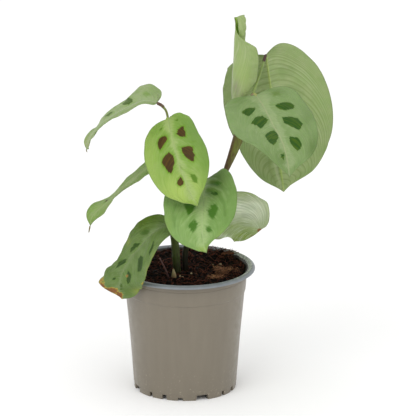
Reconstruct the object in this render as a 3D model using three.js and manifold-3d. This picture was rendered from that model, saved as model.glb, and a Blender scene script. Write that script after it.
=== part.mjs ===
// A potted prayer plant: a ribbed nursery pot with soil, three stems, stalked leaves and one
// young leaf still rolled up. Millimetres, +Z up, the pot's axis on Z and its feet on z = 0.
// The plant's show side faces -Y.
import * as THREE from "three";
import { mergeVertices } from "three/addons/utils/BufferGeometryUtils.js";
import Module from "manifold-3d";

const wasm = await Module();
wasm.setup();

// Driving sizes, mm.
const GAP = 0.3; // clearance between a piece and what carries it
const RIM_RADIUS = 60;
const RIM_EDGE_Z = 106.5; // lower outer edge of the rim sits just under this
const CROWN_RADIUS = 56.5;
const CROWN_Z = 108.2;
const WALL = 0.9;
const BASE_RADIUS = 43.5;
const FLOOR_Z = 3.6; // underside of the pot's floor
const FOOT_RING = 2.4; // how thick the foot ring is
const BOSS_RADIUS = 10; // foot in the middle of the floor
const POT_SIDES = 64;
const SOIL_Z = 104.2;
const STEM_DEPTH_Z = 92; // how far the stems go down into the soil
const LEAF_THICK = 0.8;
const TIP_HALF = 0.6; // the blade ends where a half gets narrower than this
const SHOW_SIDE = new THREE.Vector3(0, -0.953, 0.304); // roll 0 turns a leaf's upper face here

// Materials: colour, roughness. Nothing here is metal.
const potPlastic = { color: 0x857c6c, roughness: 0.5 };
const soilPeat = { color: 0x2b1d14, roughness: 0.95 };
const coirFibre = { color: 0x9a6238, roughness: 0.9 };
const barkWood = { color: 0x5a3b26, roughness: 0.9 };
const darkStem = { color: 0x36421d, roughness: 0.55 };
const sheathSkin = { color: 0x6a5a3e, roughness: 0.6 };
const stalkSkin = { color: 0x5f7337, roughness: 0.55 };
const dryStalk = { color: 0x6b4a44, roughness: 0.8 };
const budSkin = { color: 0xcdbd93, roughness: 0.6 };
const paleLeaf = { color: 0x86ad5b, roughness: 0.45 };
const greyLeaf = { color: 0x7f9e68, roughness: 0.45 };
const darkLeaf = { color: 0x567536, roughness: 0.45 };

const group = new THREE.Group();

// Adds one closed mesh under its own name, with a material of its own.
function addPiece(name, geometry, look) {
  const material = new THREE.MeshStandardMaterial({ ...look, metalness: 0 });
  const mesh = new THREE.Mesh(geometry, material);
  mesh.name = name;
  group.add(mesh);
}

const vector = (p) => new THREE.Vector3(p[0], p[1], p[2]);

// Value at fraction f of a list spread evenly from 0 to 1.
function along(list, f) {
  const k = THREE.MathUtils.clamp(f, 0, 1) * (list.length - 1);
  const i = Math.min(Math.floor(k), list.length - 2);
  return THREE.MathUtils.lerp(list[i], list[i + 1], k - i);
}

// A closed skin over rings that all have the same number of points. From point `turned` of
// each ring on, the quads are split along their other diagonal: on a twisted sheet this keeps
// the lower face parallel to the upper one.
function loft(rings, turned = Infinity) {
  const n = rings[0].length;
  const positions = rings.flat().flatMap((p) => [p.x, p.y, p.z]);
  const index = [];
  for (let i = 0; i < rings.length - 1; i++) {
    for (let j = 0; j < n; j++) {
      const a = i * n + j;
      const b = i * n + ((j + 1) % n);
      if (j < turned) index.push(a, b, b + n, a, b + n, a + n);
      else index.push(a, b, a + n, b, b + n, a + n);
    }
  }
  for (const [ring, flip] of [[0, true], [rings.length - 1, false]]) {
    const centre = new THREE.Vector3();
    rings[ring].forEach((p) => centre.addScaledVector(p, 1 / n));
    const c = positions.length / 3;
    positions.push(centre.x, centre.y, centre.z);
    for (let j = 0; j < n; j++) {
      const a = ring * n + j;
      const b = ring * n + ((j + 1) % n);
      index.push(c, flip ? b : a, flip ? a : b);
    }
  }
  const geometry = new THREE.BufferGeometry();
  geometry.setAttribute("position", new THREE.Float32BufferAttribute(positions, 3));
  geometry.setIndex(index);
  return geometry;
}

// A round stem along points, with radii spread evenly along it and extra added all round.
function stem(points, radii, { sides = 8, steps = 3, extra = 0 } = {}) {
  const curve = new THREE.CatmullRomCurve3(points.map(vector), false, "catmullrom", 0.5);
  const count = (points.length - 1) * steps;
  const side = new THREE.Vector3(1, 0.2, 0.1);
  const rings = [];
  for (let i = 0; i <= count; i++) {
    const f = i / count;
    const centre = curve.getPoint(f);
    const tangent = curve.getTangent(f);
    side.addScaledVector(tangent, -side.dot(tangent)).normalize();
    const normal = new THREE.Vector3().crossVectors(side, tangent);
    const radius = along(radii, f) + extra;
    const ring = [];
    for (let j = 0; j < sides; j++) {
      const turn = (j / sides) * 2 * Math.PI;
      const p = centre.clone().addScaledVector(side, -radius * Math.cos(turn));
      ring.push(p.addScaledVector(normal, radius * Math.sin(turn)));
    }
    rings.push(ring);
  }
  return loft(rings);
}

// ---- pot -------------------------------------------------------------------------------

// Outer wall, [height, radius] from the foot up to the rim.
const WALL_OUTSIDE = [
  [0, BASE_RADIUS], [23, 45.35], [45, 47], [66, 49], [82, 50.6],
  [86, 51.2], [88, 51.8], [93, 52.3], [105, 52.9],
];

function potProfile() {
  const inside = WALL_OUTSIDE.filter(([z]) => z > FLOOR_Z).map(([z, r]) => [r - WALL, z]);
  return [
    [0, 0], [BOSS_RADIUS, 0], [BOSS_RADIUS + 0.5, FLOOR_Z],
    [BASE_RADIUS - FOOT_RING, FLOOR_Z], [BASE_RADIUS - FOOT_RING, 0],
    ...WALL_OUTSIDE.map(([z, r]) => [r, z]),
    [57, CROWN_Z - 1.3], [RIM_RADIUS - 0.6, RIM_EDGE_Z - 1.4],
    [RIM_RADIUS, RIM_EDGE_Z - 0.8], [RIM_RADIUS - 0.4, RIM_EDGE_Z],
    [58.4, CROWN_Z - 0.4], [CROWN_RADIUS, CROWN_Z], [54.8, CROWN_Z - 0.6], [53.6, 106.4],
    ...inside.reverse(), [BASE_RADIUS - 0.6, FLOOR_Z + 1], [0, FLOOR_Z + 1],
  ];
}

// Gaps between the feet, the same in each quarter: turn from its first gap, width, height.
const FOOT_GAPS = [
  { turn: 0, width: 11, height: 4.4 },
  { turn: 28, width: 3.6, height: 4.2 },
  { turn: 46, width: 4.6, height: 4.2 },
  { turn: 64.5, width: 4.8, height: 2.4 },
];
const FIRST_GAP = 20; // degrees from the front towards +X
const GAP_DEPTH = 8; // from just inside the foot ring outwards

function lathe(profile, sides) {
  const points = profile.map(([r, z]) => new THREE.Vector2(r, z));
  return new THREE.LatheGeometry(points, sides).rotateX(Math.PI / 2);
}

function toSolid(geometry) {
  const bare = geometry.clone();
  bare.deleteAttribute("normal");
  bare.deleteAttribute("uv");
  const merged = mergeVertices(bare, 1e-3);
  const positions = merged.attributes.position.array;
  const triVerts = new Uint32Array(merged.index.array);
  const kept = [];
  for (let i = 0; i < triVerts.length; i += 3) {
    const [a, b, c] = triVerts.subarray(i, i + 3);
    if (a !== b && b !== c && c !== a) kept.push(a, b, c);
  }
  const mesh = new wasm.Mesh({
    numProp: 3, vertProperties: positions, triVerts: new Uint32Array(kept),
  });
  return new wasm.Manifold(mesh);
}

function toGeometry(solid) {
  const mesh = solid.getMesh();
  const geometry = new THREE.BufferGeometry();
  const positions = new THREE.BufferAttribute(mesh.vertProperties, 3);
  geometry.setAttribute("position", positions);
  geometry.setIndex(new THREE.BufferAttribute(mesh.triVerts, 1));
  return geometry;
}

function pot() {
  let solid = toSolid(lathe(potProfile(), POT_SIDES));
  for (let quarter = 0; quarter < 4; quarter++) {
    for (const { turn, width, height } of FOOT_GAPS) {
      const degrees = FIRST_GAP + quarter * 90 + turn;
      const box = new THREE.BoxGeometry(width, GAP_DEPTH, 2 * height);
      box.translate(0, -(BASE_RADIUS - FOOT_RING + GAP_DEPTH / 2 - 0.1), 0);
      box.rotateZ(THREE.MathUtils.degToRad(degrees));
      solid = solid.subtract(toSolid(box));
    }
  }
  return toGeometry(solid);
}

// ---- soil ------------------------------------------------------------------------------

// How far the soil rises over its mean level: low waves, and a heap against the rim behind.
function soilRise(x, y) {
  const waves = 0.7 * Math.sin(x / 8 + 1) * Math.cos(y / 9) + 0.4 * Math.sin(y / 5 + x / 13);
  const heap = 3 * Math.exp(-((x - 30) ** 2 + (y - 32) ** 2) / 400);
  return waves + heap;
}

const SOIL_RINGS = [51.4, 46, 38, 28, 16]; // radii of the rings across its top

// Everything that stands in the soil, as solids a gap larger than the real pieces.
function sunkInSoil() {
  const grown = [
    stem(STEMS.stem_front.points, STEMS.stem_front.radii, { extra: GAP }),
    stem(STEMS.stem_rear.points, STEMS.stem_rear.radii, { extra: GAP }),
    stem(STEMS.dry_twig.points, STEMS.dry_twig.radii, { extra: GAP }),
    stem(STEMS.basal_bud.points, STEMS.basal_bud.radii, { extra: GAP }),
    lump(COIR, GAP),
    lump(BARK, GAP),
  ];
  return grown.map(toSolid);
}

function soil() {
  const top = SOIL_RINGS.map((r) => [r, SOIL_Z]);
  const bottom = FLOOR_Z + 1 + GAP;
  const geometry = lathe(
    [[0, bottom], [BASE_RADIUS - WALL - GAP, bottom], [44.1, 23], [49.2, 82], [50.2, 88], ...top,
      [0, SOIL_Z]],
    POT_SIDES / 2,
  );
  const position = geometry.attributes.position;
  for (let i = 0; i < position.count; i++) {
    if (position.getZ(i) < SOIL_Z - 0.1) continue;
    position.setZ(i, SOIL_Z + soilRise(position.getX(i), position.getY(i)));
  }
  return toGeometry(sunkInSoil().reduce((rest, hole) => rest.subtract(hole), toSolid(geometry)));
}

// Loose pieces on the soil: centre, half sizes and turn about Z.
const COIR = { centre: [31, -10, 105], half: [7, 11, 3.2], turn: 20 };
const BARK = { centre: [36.5, 31, 108.3], half: [5.5, 1.3, 1.1], turn: 12 };

function lump({ centre, half, turn }, extra = 0) {
  const geometry = new THREE.IcosahedronGeometry(1, 1);
  geometry.deleteAttribute("normal");
  geometry.deleteAttribute("uv");
  geometry.scale(half[0] + extra, half[1] + extra, half[2] + extra);
  geometry.rotateZ(THREE.MathUtils.degToRad(turn)).translate(...centre);
  return mergeVertices(geometry, 1e-3);
}

// ---- stems -----------------------------------------------------------------------------

// Points up each stem, and its radii from bottom to top.
const STEMS = {
  stem_front: {
    points: [[-7, -9, STEM_DEPTH_Z], [-7, -9, 106], [-8, -7, 122], [-9.5, -4, 140], [-10, 0, 156]],
    radii: [3.1, 3.3, 3.4, 3.3, 3],
    look: darkStem,
  },
  stem_rear: {
    points: [[0, -2, STEM_DEPTH_Z], [0, -2, 106], [0.5, 0, 122], [6, 2, 138], [17, 3, 159],
      [28, 4, 178], [34.5, 5, 191]],
    radii: [2.4, 2.5, 2.5, 2.4, 2.3, 2.2, 2.1],
    look: darkStem,
  },
  leaf_sheath: {
    points: [[35, 5.1, 192], [40, 5, 205], [45.5, 4.2, 221], [51, 3.2, 238], [56.5, 2.4, 257]],
    radii: [2.2, 3.1, 4, 3.4, 2.6],
    look: sheathSkin,
  },
  dry_twig: {
    points: [[-13.5, -27, 100], [-14, -27, 105], [-17.5, -28.5, 115], [-21.5, -30, 124]],
    radii: [0.8, 0.8, 0.7, 0.6],
    look: dryStalk,
  },
  basal_bud: {
    points: [[-9.5, -25, 101], [-9.5, -25, 106], [-9.8, -25, 110], [-10, -24.5, 112.5]],
    radii: [1.9, 1.9, 1.6, 0.6],
    look: budSkin,
  },
};

// Leaf stalks, from the stem that carries them to just short of the blade.
const STALK_RADII = [1.5, 1.2, 1.1, 1.1, 1.3, 0.8];
const STALKS = {
  stalk_upper_left: [[-10.4, 2.2, 157.4], [-10, 6.5, 172], [-12, 7, 205], [-14.6, 5, 238.5],
    [-18.5, 3.2, 248.5], [-23.2, 1, 252.6]],
  stalk_front: [[-8.3, -1.3, 157.4], [-7, 1, 172], [-9.5, 2, 205], [-13, 1.2, 230],
    [-14.8, -1, 238.5], [-14.7, -3.7, 240.4]],
  stalk_mid_left: [[-12, -1.2, 157.4], [-14, 2, 172], [-16.5, 4, 188], [-19.5, 4.5, 199],
    [-22.5, 4, 201.3], [-24.9, 3.2, 200]],
  stalk_lower_left: [[-9.4, -8, 141], [-9.5, -14, 147], [-9, -22, 153], [-9.2, -30, 157.5],
    [-10.2, -35.5, 159], [-12, -38.9, 158.3]],
  stalk_centre: [[11, -1.6, 152], [12.8, -3, 160], [14.5, -4, 170], [15.4, -6, 180],
    [15.8, -7.6, 185], [16, -9.7, 186.2]],
  stalk_rear_right: [[20.6, 4.2, 156.8], [24.3, 6.5, 162], [29.5, 9.5, 168.5], [33.8, 11, 171.4],
    [36, 11.8, 170.8], [36.8, 12.4, 169.7]],
  stalk_big_rear: [[57.8, 4.4, 258.2], [59.6, 7, 263.5], [63, 14, 272], [66.3, 20.5, 280.5],
    [68, 25, 285.5], [68.7, 27, 288]],
  stalk_top_front: [[57, 2.2, 258.3], [57.6, 1.2, 259.8], [58.2, 0.2, 260.7], [59, -0.8, 261],
    [59.6, -1.6, 260.9], [60.2, -2.4, 260.7]],
};

// ---- leaves ----------------------------------------------------------------------------

// midrib: points from base to tip. roll: degrees the upper face is turned off the show side
// about the midrib, base to tip. half: widths of the left and right halves. fold: degrees each
// half rises at the midrib, base and tip. curl: further degrees it bends by the margin.
// skew: under 1 puts the widest part nearer the base. sharp: how drawn out the tip is.
// lobe: how far each side reaches back past the stalk.
const LEAVES = {
  leaf_upper_left: {
    midrib: [[-24, 1, 253], [-35.5, 5, 253.5], [-53.5, 13.5, 243], [-71.5, 23.5, 228],
      [-83, 30, 209.5], [-84.5, 36, 198.5]],
    roll: [61, 64, 70, 73, 75, 71],
    half: [20.5, 30.5], fold: [[10, -4], [12, -7]], curl: [[12, 8], [-13, -25]],
    skew: 0.92, sharp: 1, lobe: [3.5, 4.5],
    look: greyLeaf,
  },
  leaf_front: {
    midrib: [[-14.5, -4.5, 240], [-11.5, -19.5, 229.5], [-6, -35, 214.5], [-0.5, -47.5, 200],
      [5.5, -55, 188], [11, -61, 180]],
    roll: [22, 12, 5, 1, -1, -3],
    half: [26.5, 27.5], fold: [[18, 11], [8, 11]], curl: [[-17, -15], [-8, -11]],
    skew: 0.95, sharp: 1.3, lobe: [4, 3],
    look: paleLeaf,
  },
  leaf_mid_left: {
    midrib: [[-25.5, 3, 199.5], [-43, -0.5, 186.5], [-58.5, -6, 174], [-71, -11, 164],
      [-79, -15, 156.5], [-81, -17.5, 145.5]],
    roll: [67, 74, 76, 80, 65, 47],
    half: [22.5, 26], fold: [[-2, 1], [0, 3]], curl: [[10, 14], [-12, -13]],
    skew: 0.97, sharp: 1.4, lobe: [5, 5],
    look: greyLeaf,
  },
  leaf_lower_left: {
    midrib: [[-12.5, -39.5, 158], [-25.5, -44.5, 152.5], [-37.5, -42, 137.5],
      [-49.5, -38, 121], [-59.5, -34, 111.5], [-74, -31.5, 104]],
    roll: [37, 42, 40, 41, 37, 25],
    half: [33, 25.5], fold: [[30, -2], [13, -20]], curl: [[-6, -23], [-14, -34]],
    skew: 1.05, sharp: 1.2, lobe: [1, 5.5],
    look: darkLeaf,
  },
  leaf_centre: {
    midrib: [[16, -10.5, 186], [16.5, -26.5, 184.5], [15.5, -46, 177], [14.5, -69, 164.5],
      [15.5, -85.5, 155], [18.5, -93.5, 149]],
    roll: [12, 10, 6, 8, 10, 13],
    half: [29.5, 34], fold: [[22, -1], [14, -10]], curl: [[0, -20], [-9, -16]],
    skew: 0.86, sharp: 1.5, lobe: [4.5, 4],
    look: paleLeaf,
  },
  leaf_rear_right: {
    midrib: [[37, 13, 168.7], [39, 23.5, 156.7], [42, 35.5, 142.2], [43.5, 48, 126.7],
      [44, 58, 115.7], [42, 64.5, 108]],
    roll: [186, 179, 177, 175, 175, 176],
    half: [27, 31], fold: [[-1, -8], [-1, -4]], curl: [[-27, -32], [-26, -24]],
    skew: 0.86, sharp: 1.6, lobe: [4, 4],
    look: greyLeaf,
  },
  leaf_big_rear: {
    midrib: [[69, 28, 287], [72, 34, 264], [75, 40.5, 240], [78.5, 48, 209],
      [81.5, 51, 181], [84.5, 46, 159]],
    roll: [169, 173, 176, 178, 179, 178],
    half: [45.5, 52.5], fold: [[25, 32], [45, -2]], curl: [[-12, -1], [-16, -20]],
    skew: 0.93, sharp: 1, lobe: [5.5, 5],
    look: paleLeaf,
  },
  leaf_top_front: {
    midrib: [[60.5, -3, 260.5], [66.5, -19, 256], [74, -38, 246.5], [82.5, -59, 236],
      [86.5, -73, 224], [88.5, -80, 211.5]],
    roll: [-11, -14, -14, -19, -23, -28],
    half: [37.5, 39], fold: [[6, -3], [19, 16]], curl: [[-26, -19], [8, -18]],
    skew: 0.88, sharp: 1.5, lobe: [5, 5],
    look: greyLeaf,
  },
  leaf_young_rolled: {
    midrib: [[45.6, 10.2, 236], [40.8, 14.8, 252], [40.6, 13, 271], [41.8, 12, 290], [42.2, 12, 306],
      [42.8, 11.5, 319], [46.5, 10.5, 327.5], [53, 10, 330]],
    roll: [90, 90, 90, 90, 85, 75],
    half: [29, 26], fold: [[0, 0], [0, 0]],
    curl: [[330, 230, 160, 135, 125, 112], [330, 280, 250, 250, 250, 250]],
    skew: 0.95, sharp: 0.6, lobe: [0, 0],
    look: paleLeaf,
  },
};

// Midrib point and the directions along the leaf, out of its upper face and to its right.
function leafFrame(leaf, curve, length, x) {
  const inside = THREE.MathUtils.clamp(x, 0, length) / length;
  const forward = curve.getTangentAt(inside);
  const point = curve.getPointAt(inside).addScaledVector(forward, x - inside * length);
  const facing = SHOW_SIDE.clone().addScaledVector(forward, -SHOW_SIDE.dot(forward)).normalize();
  const roll = THREE.MathUtils.degToRad(along(leaf.roll, inside));
  const up = facing.applyAxisAngle(forward, roll);
  const right = new THREE.Vector3().crossVectors(forward, up);
  return { point, up, right, inside };
}

// How far along and out the margin is at u, 0 at the base and 1 at the tip.
function leafMargin(leaf, length, u, half) {
  const share = (1 - Math.cos(Math.PI * u)) / 2;
  const back = leaf.lobe[half] * Math.sin(Math.PI * u) * (1 - u) ** 2 * 2.5;
  const pinch = 1 + leaf.sharp * THREE.MathUtils.smoothstep(u, 0.5, 1);
  const out = leaf.half[half] * Math.sin(Math.PI * u ** leaf.skew) ** pinch;
  return { x: length * share - back, y: out };
}

// A point of the blade: u from base to tip, v from the left margin (-1) to the right (1).
function leafPoint(leaf, curve, length, u, v) {
  const half = v > 0 ? 1 : 0;
  const margin = leafMargin(leaf, length, u, half);
  const spine = length * ((1 - Math.cos(Math.PI * u)) / 2) ** 1.12;
  const out = Math.abs(v);
  const x = spine + (margin.x - spine) * out ** 1.3;
  const y = margin.y * out;
  const { point, up, right, inside } = leafFrame(leaf, curve, length, x);
  const fold = THREE.MathUtils.degToRad(along(leaf.fold[half], inside));
  const curl = THREE.MathUtils.degToRad(along(leaf.curl[half], inside)) / leaf.half[half];
  const bend = Math.abs(curl) < 1e-6 ? 1e-6 : curl;
  const end = fold + bend * y;
  const across = (Math.sin(end) - Math.sin(fold)) / bend;
  const rise = (Math.cos(fold) - Math.cos(end)) / bend;
  const side = half === 1 ? 1 : -1;
  point.addScaledVector(right, side * across).addScaledVector(up, rise);
  const face = up.multiplyScalar(Math.cos(end)).addScaledVector(right, -side * Math.sin(end));
  return { point, face };
}

const ACROSS = [-1, -0.7, -0.35, 0, 0.35, 0.7, 1];

// How far towards the tip both halves are still TIP_HALF wide.
function bladeEnd(leaf, length) {
  let u = 0.98;
  while ([0, 1].some((half) => leafMargin(leaf, length, u, half).y < TIP_HALF)) u -= 0.005;
  return u;
}

// The blade as a thin solid, full thickness at the midrib and thinner at the margins.
function blade(leaf, stations = 14) {
  const curve = new THREE.CatmullRomCurve3(leaf.midrib.map(vector), false, "catmullrom", 0.5);
  const length = curve.getLength();
  const end = bladeEnd(leaf, length);
  const rings = [];
  for (let i = 0; i <= stations; i++) {
    const u = THREE.MathUtils.lerp(0.02, end, i / stations);
    const section = ACROSS.map((v) => ({ v, ...leafPoint(leaf, curve, length, u, v) }));
    const half = (v) => (LEAF_THICK / 2) * (1 - 0.4 * v * v);
    const upper = section.map(({ v, point, face }) => point.clone().addScaledVector(face, half(v)));
    const lower = section.map(({ v, point, face }) => point.clone().addScaledVector(face, -half(v)));
    rings.push([...upper, ...lower.reverse()]);
  }
  return loft(rings, ACROSS.length);
}

addPiece("pot", pot(), potPlastic);
addPiece("soil", soil(), soilPeat);
addPiece("coir_clump", lump(COIR), coirFibre);
addPiece("bark_stick", lump(BARK), barkWood);
for (const [name, { points, radii, look }] of Object.entries(STEMS)) {
  addPiece(name, stem(points, radii), look);
}
for (const [name, points] of Object.entries(STALKS)) {
  addPiece(name, stem(points, STALK_RADII, { sides: 6, steps: 2 }), stalkSkin);
}
for (const [name, leaf] of Object.entries(LEAVES)) {
  addPiece(name, blade(leaf), leaf.look);
}

export default group;
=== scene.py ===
# A potted prayer plant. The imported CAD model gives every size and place; the leaves, stalks,
# pot and soil made here stand where its plain solids are. Metres, +Z up, show side to -Y.
import math
import random

import bpy
import numpy as np
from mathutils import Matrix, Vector, noise


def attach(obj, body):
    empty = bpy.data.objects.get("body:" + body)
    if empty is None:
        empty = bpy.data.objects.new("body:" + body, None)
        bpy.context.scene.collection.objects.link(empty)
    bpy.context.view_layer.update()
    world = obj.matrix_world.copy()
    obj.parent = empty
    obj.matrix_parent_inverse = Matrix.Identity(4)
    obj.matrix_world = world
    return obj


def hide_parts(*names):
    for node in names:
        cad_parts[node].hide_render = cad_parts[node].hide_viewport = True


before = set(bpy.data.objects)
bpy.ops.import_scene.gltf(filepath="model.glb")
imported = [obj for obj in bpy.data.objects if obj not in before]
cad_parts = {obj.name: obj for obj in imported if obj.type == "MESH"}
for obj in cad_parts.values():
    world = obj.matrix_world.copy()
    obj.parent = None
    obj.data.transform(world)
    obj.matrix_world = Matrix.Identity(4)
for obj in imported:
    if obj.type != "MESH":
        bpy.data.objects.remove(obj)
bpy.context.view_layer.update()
mm = 0.001
showSide = np.array([0, -0.953, 0.304])  # a leaf rolled by 0 degrees faces this way
print("frame loaded,", len(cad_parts), "nodes")


# helpers: colour, nodes, materials, meshes

def toLinear(hexText):
    parts = [int(hexText[i:i + 2], 16) / 255 for i in (1, 3, 5)]
    linear = [c / 12.92 if c <= 0.04045 else ((c + 0.055) / 1.055) ** 2.4 for c in parts]
    return (*linear, 1)


def wire(tree, node, links):
    # links: socket name or number -> another node's output, or a plain value
    for socket, value in links.items():
        if isinstance(value, bpy.types.NodeSocket):
            tree.links.new(value, node.inputs[socket])
        else:
            node.inputs[socket].default_value = value


def addNode(tree, kind, settings=None, links=None):
    node = tree.nodes.new("ShaderNode" + kind)
    for name, value in (settings or {}).items():
        setattr(node, name, value)
    wire(tree, node, links or {})
    return node


def newMaterial(name, noises, layers=()):
    # noises: name -> size in mm, detail, roughness and, where it is drawn out upwards, by how much
    # layers: names of the numbers on the mesh that the material reads
    material = bpy.data.materials.new(name)
    material.use_nodes = True
    tree = material.node_tree
    at = {"place": addNode(tree, "TexCoord").outputs["Object"]}
    for layer in layers:
        at[layer] = addNode(tree, "Attribute", {"attribute_name": layer}).outputs["Fac"]
    for key, (size, detail, rough, *squeeze) in noises.items():
        where = at["place"]
        if squeeze:
            where = addNode(tree, "Mapping", None, {
                "Vector": where, "Scale": (1, 1, squeeze[0])}).outputs[0]
        at[key] = addNode(tree, "TexNoise", None, {
            "Vector": where, "Scale": 1 / (size * mm), "Detail": detail,
            "Roughness": rough}).outputs["Fac"]
    return material, tree, at


def addSteps(tree, at, steps):
    # each step: its name, the kind of node, settings and links; a link may name an earlier step
    for key, kind, settings, links in steps:
        found = {socket: at[value] if isinstance(value, str) else value
                 for socket, value in links.items()}
        at[key] = addNode(tree, kind, settings, found).outputs[0]


def layCoats(tree, at, look, tone, coats, ease="LINEAR"):
    # colours of the look, one over another, each with the name of a pattern, the value where it
    # starts, the value where it is full, and how full; a pattern by itself is the amount
    for colour, pattern, *fade in coats:
        amount = at[pattern]
        if fade:
            start, full, most = fade
            amount = addNode(tree, "MapRange", {"interpolation_type": ease}, {
                "Value": amount, "From Min": start, "From Max": full, "To Max": most}).outputs[0]
        under, over = [toLinear(look[c]) if isinstance(c, str) else c for c in (tone, colour)]
        mix = addNode(tree, "Mix", {"data_type": "RGBA"}, {0: amount, 6: under, 7: over})
        tone = mix.outputs[2]
    return tone


def finishSurface(tree, tone, rough, relief, settings):
    # rough: a pattern, two of its values and the roughness at each
    # relief: a pattern for height, its strength and its depth in mm
    pattern, start, full, low, high = rough
    roughness = addNode(tree, "MapRange", None, {
        "Value": pattern, "From Min": start, "From Max": full, "To Min": low, "To Max": high})
    height, strength, depth = relief
    bump = addNode(tree, "Bump", None, {
        "Height": height, "Strength": strength, "Distance": depth * mm})
    wire(tree, tree.nodes["Principled BSDF"], {
        "Base Color": tone, "Roughness": roughness.outputs[0], "Normal": bump.outputs[0],
        **settings})


def newPiece(name, points, faces, materials, layers=None, faceLook=None):
    # points in mm; layers: one number for each point, which a material reads by name
    mesh = bpy.data.meshes.new(name)
    mesh.from_pydata((np.asarray(points, float) * mm).tolist(), [], faces)
    for material in materials:
        mesh.materials.append(material)
    for layer, values in (layers or {}).items():
        attribute = mesh.attributes.new(layer, "FLOAT", "POINT")
        attribute.data.foreach_set("value", np.asarray(values, np.float32).ravel())
    if faceLook is not None:
        mesh.polygons.foreach_set("material_index", np.asarray(faceLook, np.int32))
    mesh.shade_smooth()
    mesh.validate()
    piece = bpy.data.objects.new(name, mesh)
    bpy.context.collection.objects.link(piece)
    return piece


def standFor(piece, node):
    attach(piece, "root")
    if node:
        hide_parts(node)


def throughPoints(points, steps=14):
    # a smooth curve through the points, with its running length and its headings
    p = np.asarray(points, float)
    p = np.vstack([2 * p[0] - p[1], p, 2 * p[-1] - p[-2]])
    t = np.linspace(0, 1, steps, endpoint=False)[:, None]
    spots = []
    for a, b, c, d in zip(p, p[1:], p[2:], p[3:]):
        spots.append(0.5 * (2 * b + (c - a) * t + (2 * a - 5 * b + 4 * c - d) * t ** 2
                            + (3 * b - a - 3 * c + d) * t ** 3))
    spots = np.vstack([*spots, p[-2:-1]])
    distance = np.concatenate([[0], np.cumsum(np.linalg.norm(np.diff(spots, axis=0), axis=1))])
    headings = np.gradient(spots, distance, axis=0)
    return spots, distance, headings / np.linalg.norm(headings, axis=1)[:, None]


def spread(values, share):
    # value at each share of a list spread evenly from 0 to 1
    return np.interp(share, np.linspace(0, 1, len(values)), values)


def easeStep(low, high, x):
    t = np.clip((x - low) / (high - low), 0, 1)
    return t * t * (3 - 2 * t)


def ringFaces(rings, sides, start=0, outward=True):
    # four-cornered faces between closed rings of points
    faces = []
    for i in range(rings - 1):
        for j in range(sides):
            a, b = start + i * sides + j, start + i * sides + (j + 1) % sides
            faces.append((a, b, b + sides, a + sides) if outward else (a, a + sides, b + sides, b))
    return faces


def gridFaces(rows, columns, start=0, upper=True):
    # four-cornered faces of an open sheet of points
    faces = []
    for i in range(rows - 1):
        for j in range(columns - 1):
            a = start + i * columns + j
            b = a + columns
            faces.append((a, a + 1, b + 1, b) if upper else (a, b, b + 1, a + 1))
    return faces


def gridBorder(rows, columns):
    # the points round the edge of an open sheet, in order
    last = (rows - 1) * columns
    return ([*range(columns - 1)] + [*range(columns - 1, last, columns)]
            + [*range(last + columns - 1, last, -1)] + [*range(last, 0, -columns)])


def tube(spots, headings, radii, sides, start=0):
    # rings round a path, with domed ends; radii: a number for each ring, or for each of its sides
    side = np.cross(headings[0], [0.3, 1, 0.2])
    turns = np.linspace(0, 2 * np.pi, sides, endpoint=False)
    points = []
    for spot, heading, radius in zip(spots, headings, radii):
        side = side - heading * (side @ heading)
        side /= np.linalg.norm(side)
        other = np.cross(heading, side)
        ring = np.outer(np.cos(turns), side) + np.outer(np.sin(turns), other)
        points.append(spot + ring * np.reshape(radius, (-1, 1)))
    rings = len(points)
    points = np.vstack(points)
    faces = ringFaces(rings, sides, start)
    for ring, way in ((0, -1), (rings - 1, 1)):
        tip = spots[ring] + headings[ring] * way * np.mean(radii[ring]) * 0.6
        centre = start + len(points)
        points = np.vstack([points, tip])
        for j in range(sides):
            a, b = start + ring * sides + j, start + ring * sides + (j + 1) % sides
            faces.append((centre, a, b)[::way])
    return points, faces


# camera: the photograph's viewing angle, far off so that the view is nearly flat
shot = {
    "aim": (19.6, 0, 159.3),  # mm, the middle of the picture
    "distance": 7500,
    "elevation": 17.7,
    "lens": 760.5,
    "sensor": 36,
    "pixels": 416,
    "mmEachPixel": 0.8535,
}


def placeCamera():
    lift = math.radians(shot["elevation"])
    back = Vector((0, -math.cos(lift), math.sin(lift)))
    data = bpy.data.cameras.new("studioCamera")
    data.lens, data.sensor_width, data.clip_end = shot["lens"], shot["sensor"], 80
    camera = bpy.data.objects.new("studioCamera", data)
    camera.location = (Vector(shot["aim"]) + back * shot["distance"]) * mm
    camera.rotation_euler = (math.pi / 2 - lift, 0, 0)
    bpy.context.collection.objects.link(camera)
    bpy.context.scene.camera = camera


# light: a white room, with two large soft lamps
studio = {
    "room": "#ffffff", "roomStrength": 0.96,
    "lamps": [
        {"name": "windowLamp", "at": (-1.3, -2.2, 2.4), "size": 2.2, "power": 30},
        {"name": "fillLamp", "at": (1.6, -2.4, 1.6), "size": 2.2, "power": 10},
    ],
    "lampsFace": (0, 0, 0.16),
    "floor": "#fdfdfc", "floorCloud": "#fefefe", "floorWidth": 24,
}


def lightRoom():
    scene = bpy.context.scene
    scene.view_settings.view_transform = "Standard"
    scene.view_settings.look = "None"
    world = bpy.data.worlds.new("whiteRoom")
    scene.world = world
    world.use_nodes = True
    background = world.node_tree.nodes["Background"]
    background.inputs["Color"].default_value = toLinear(studio["room"])
    background.inputs["Strength"].default_value = studio["roomStrength"]
    for lamp in studio["lamps"]:
        data = bpy.data.lights.new(lamp["name"], "AREA")
        data.size, data.energy = lamp["size"], lamp["power"]
        light = bpy.data.objects.new(lamp["name"], data)
        light.location = lamp["at"]
        way = Vector(studio["lampsFace"]) - light.location
        light.rotation_euler = way.to_track_quat("-Z", "Y").to_euler()
        bpy.context.collection.objects.link(light)


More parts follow.
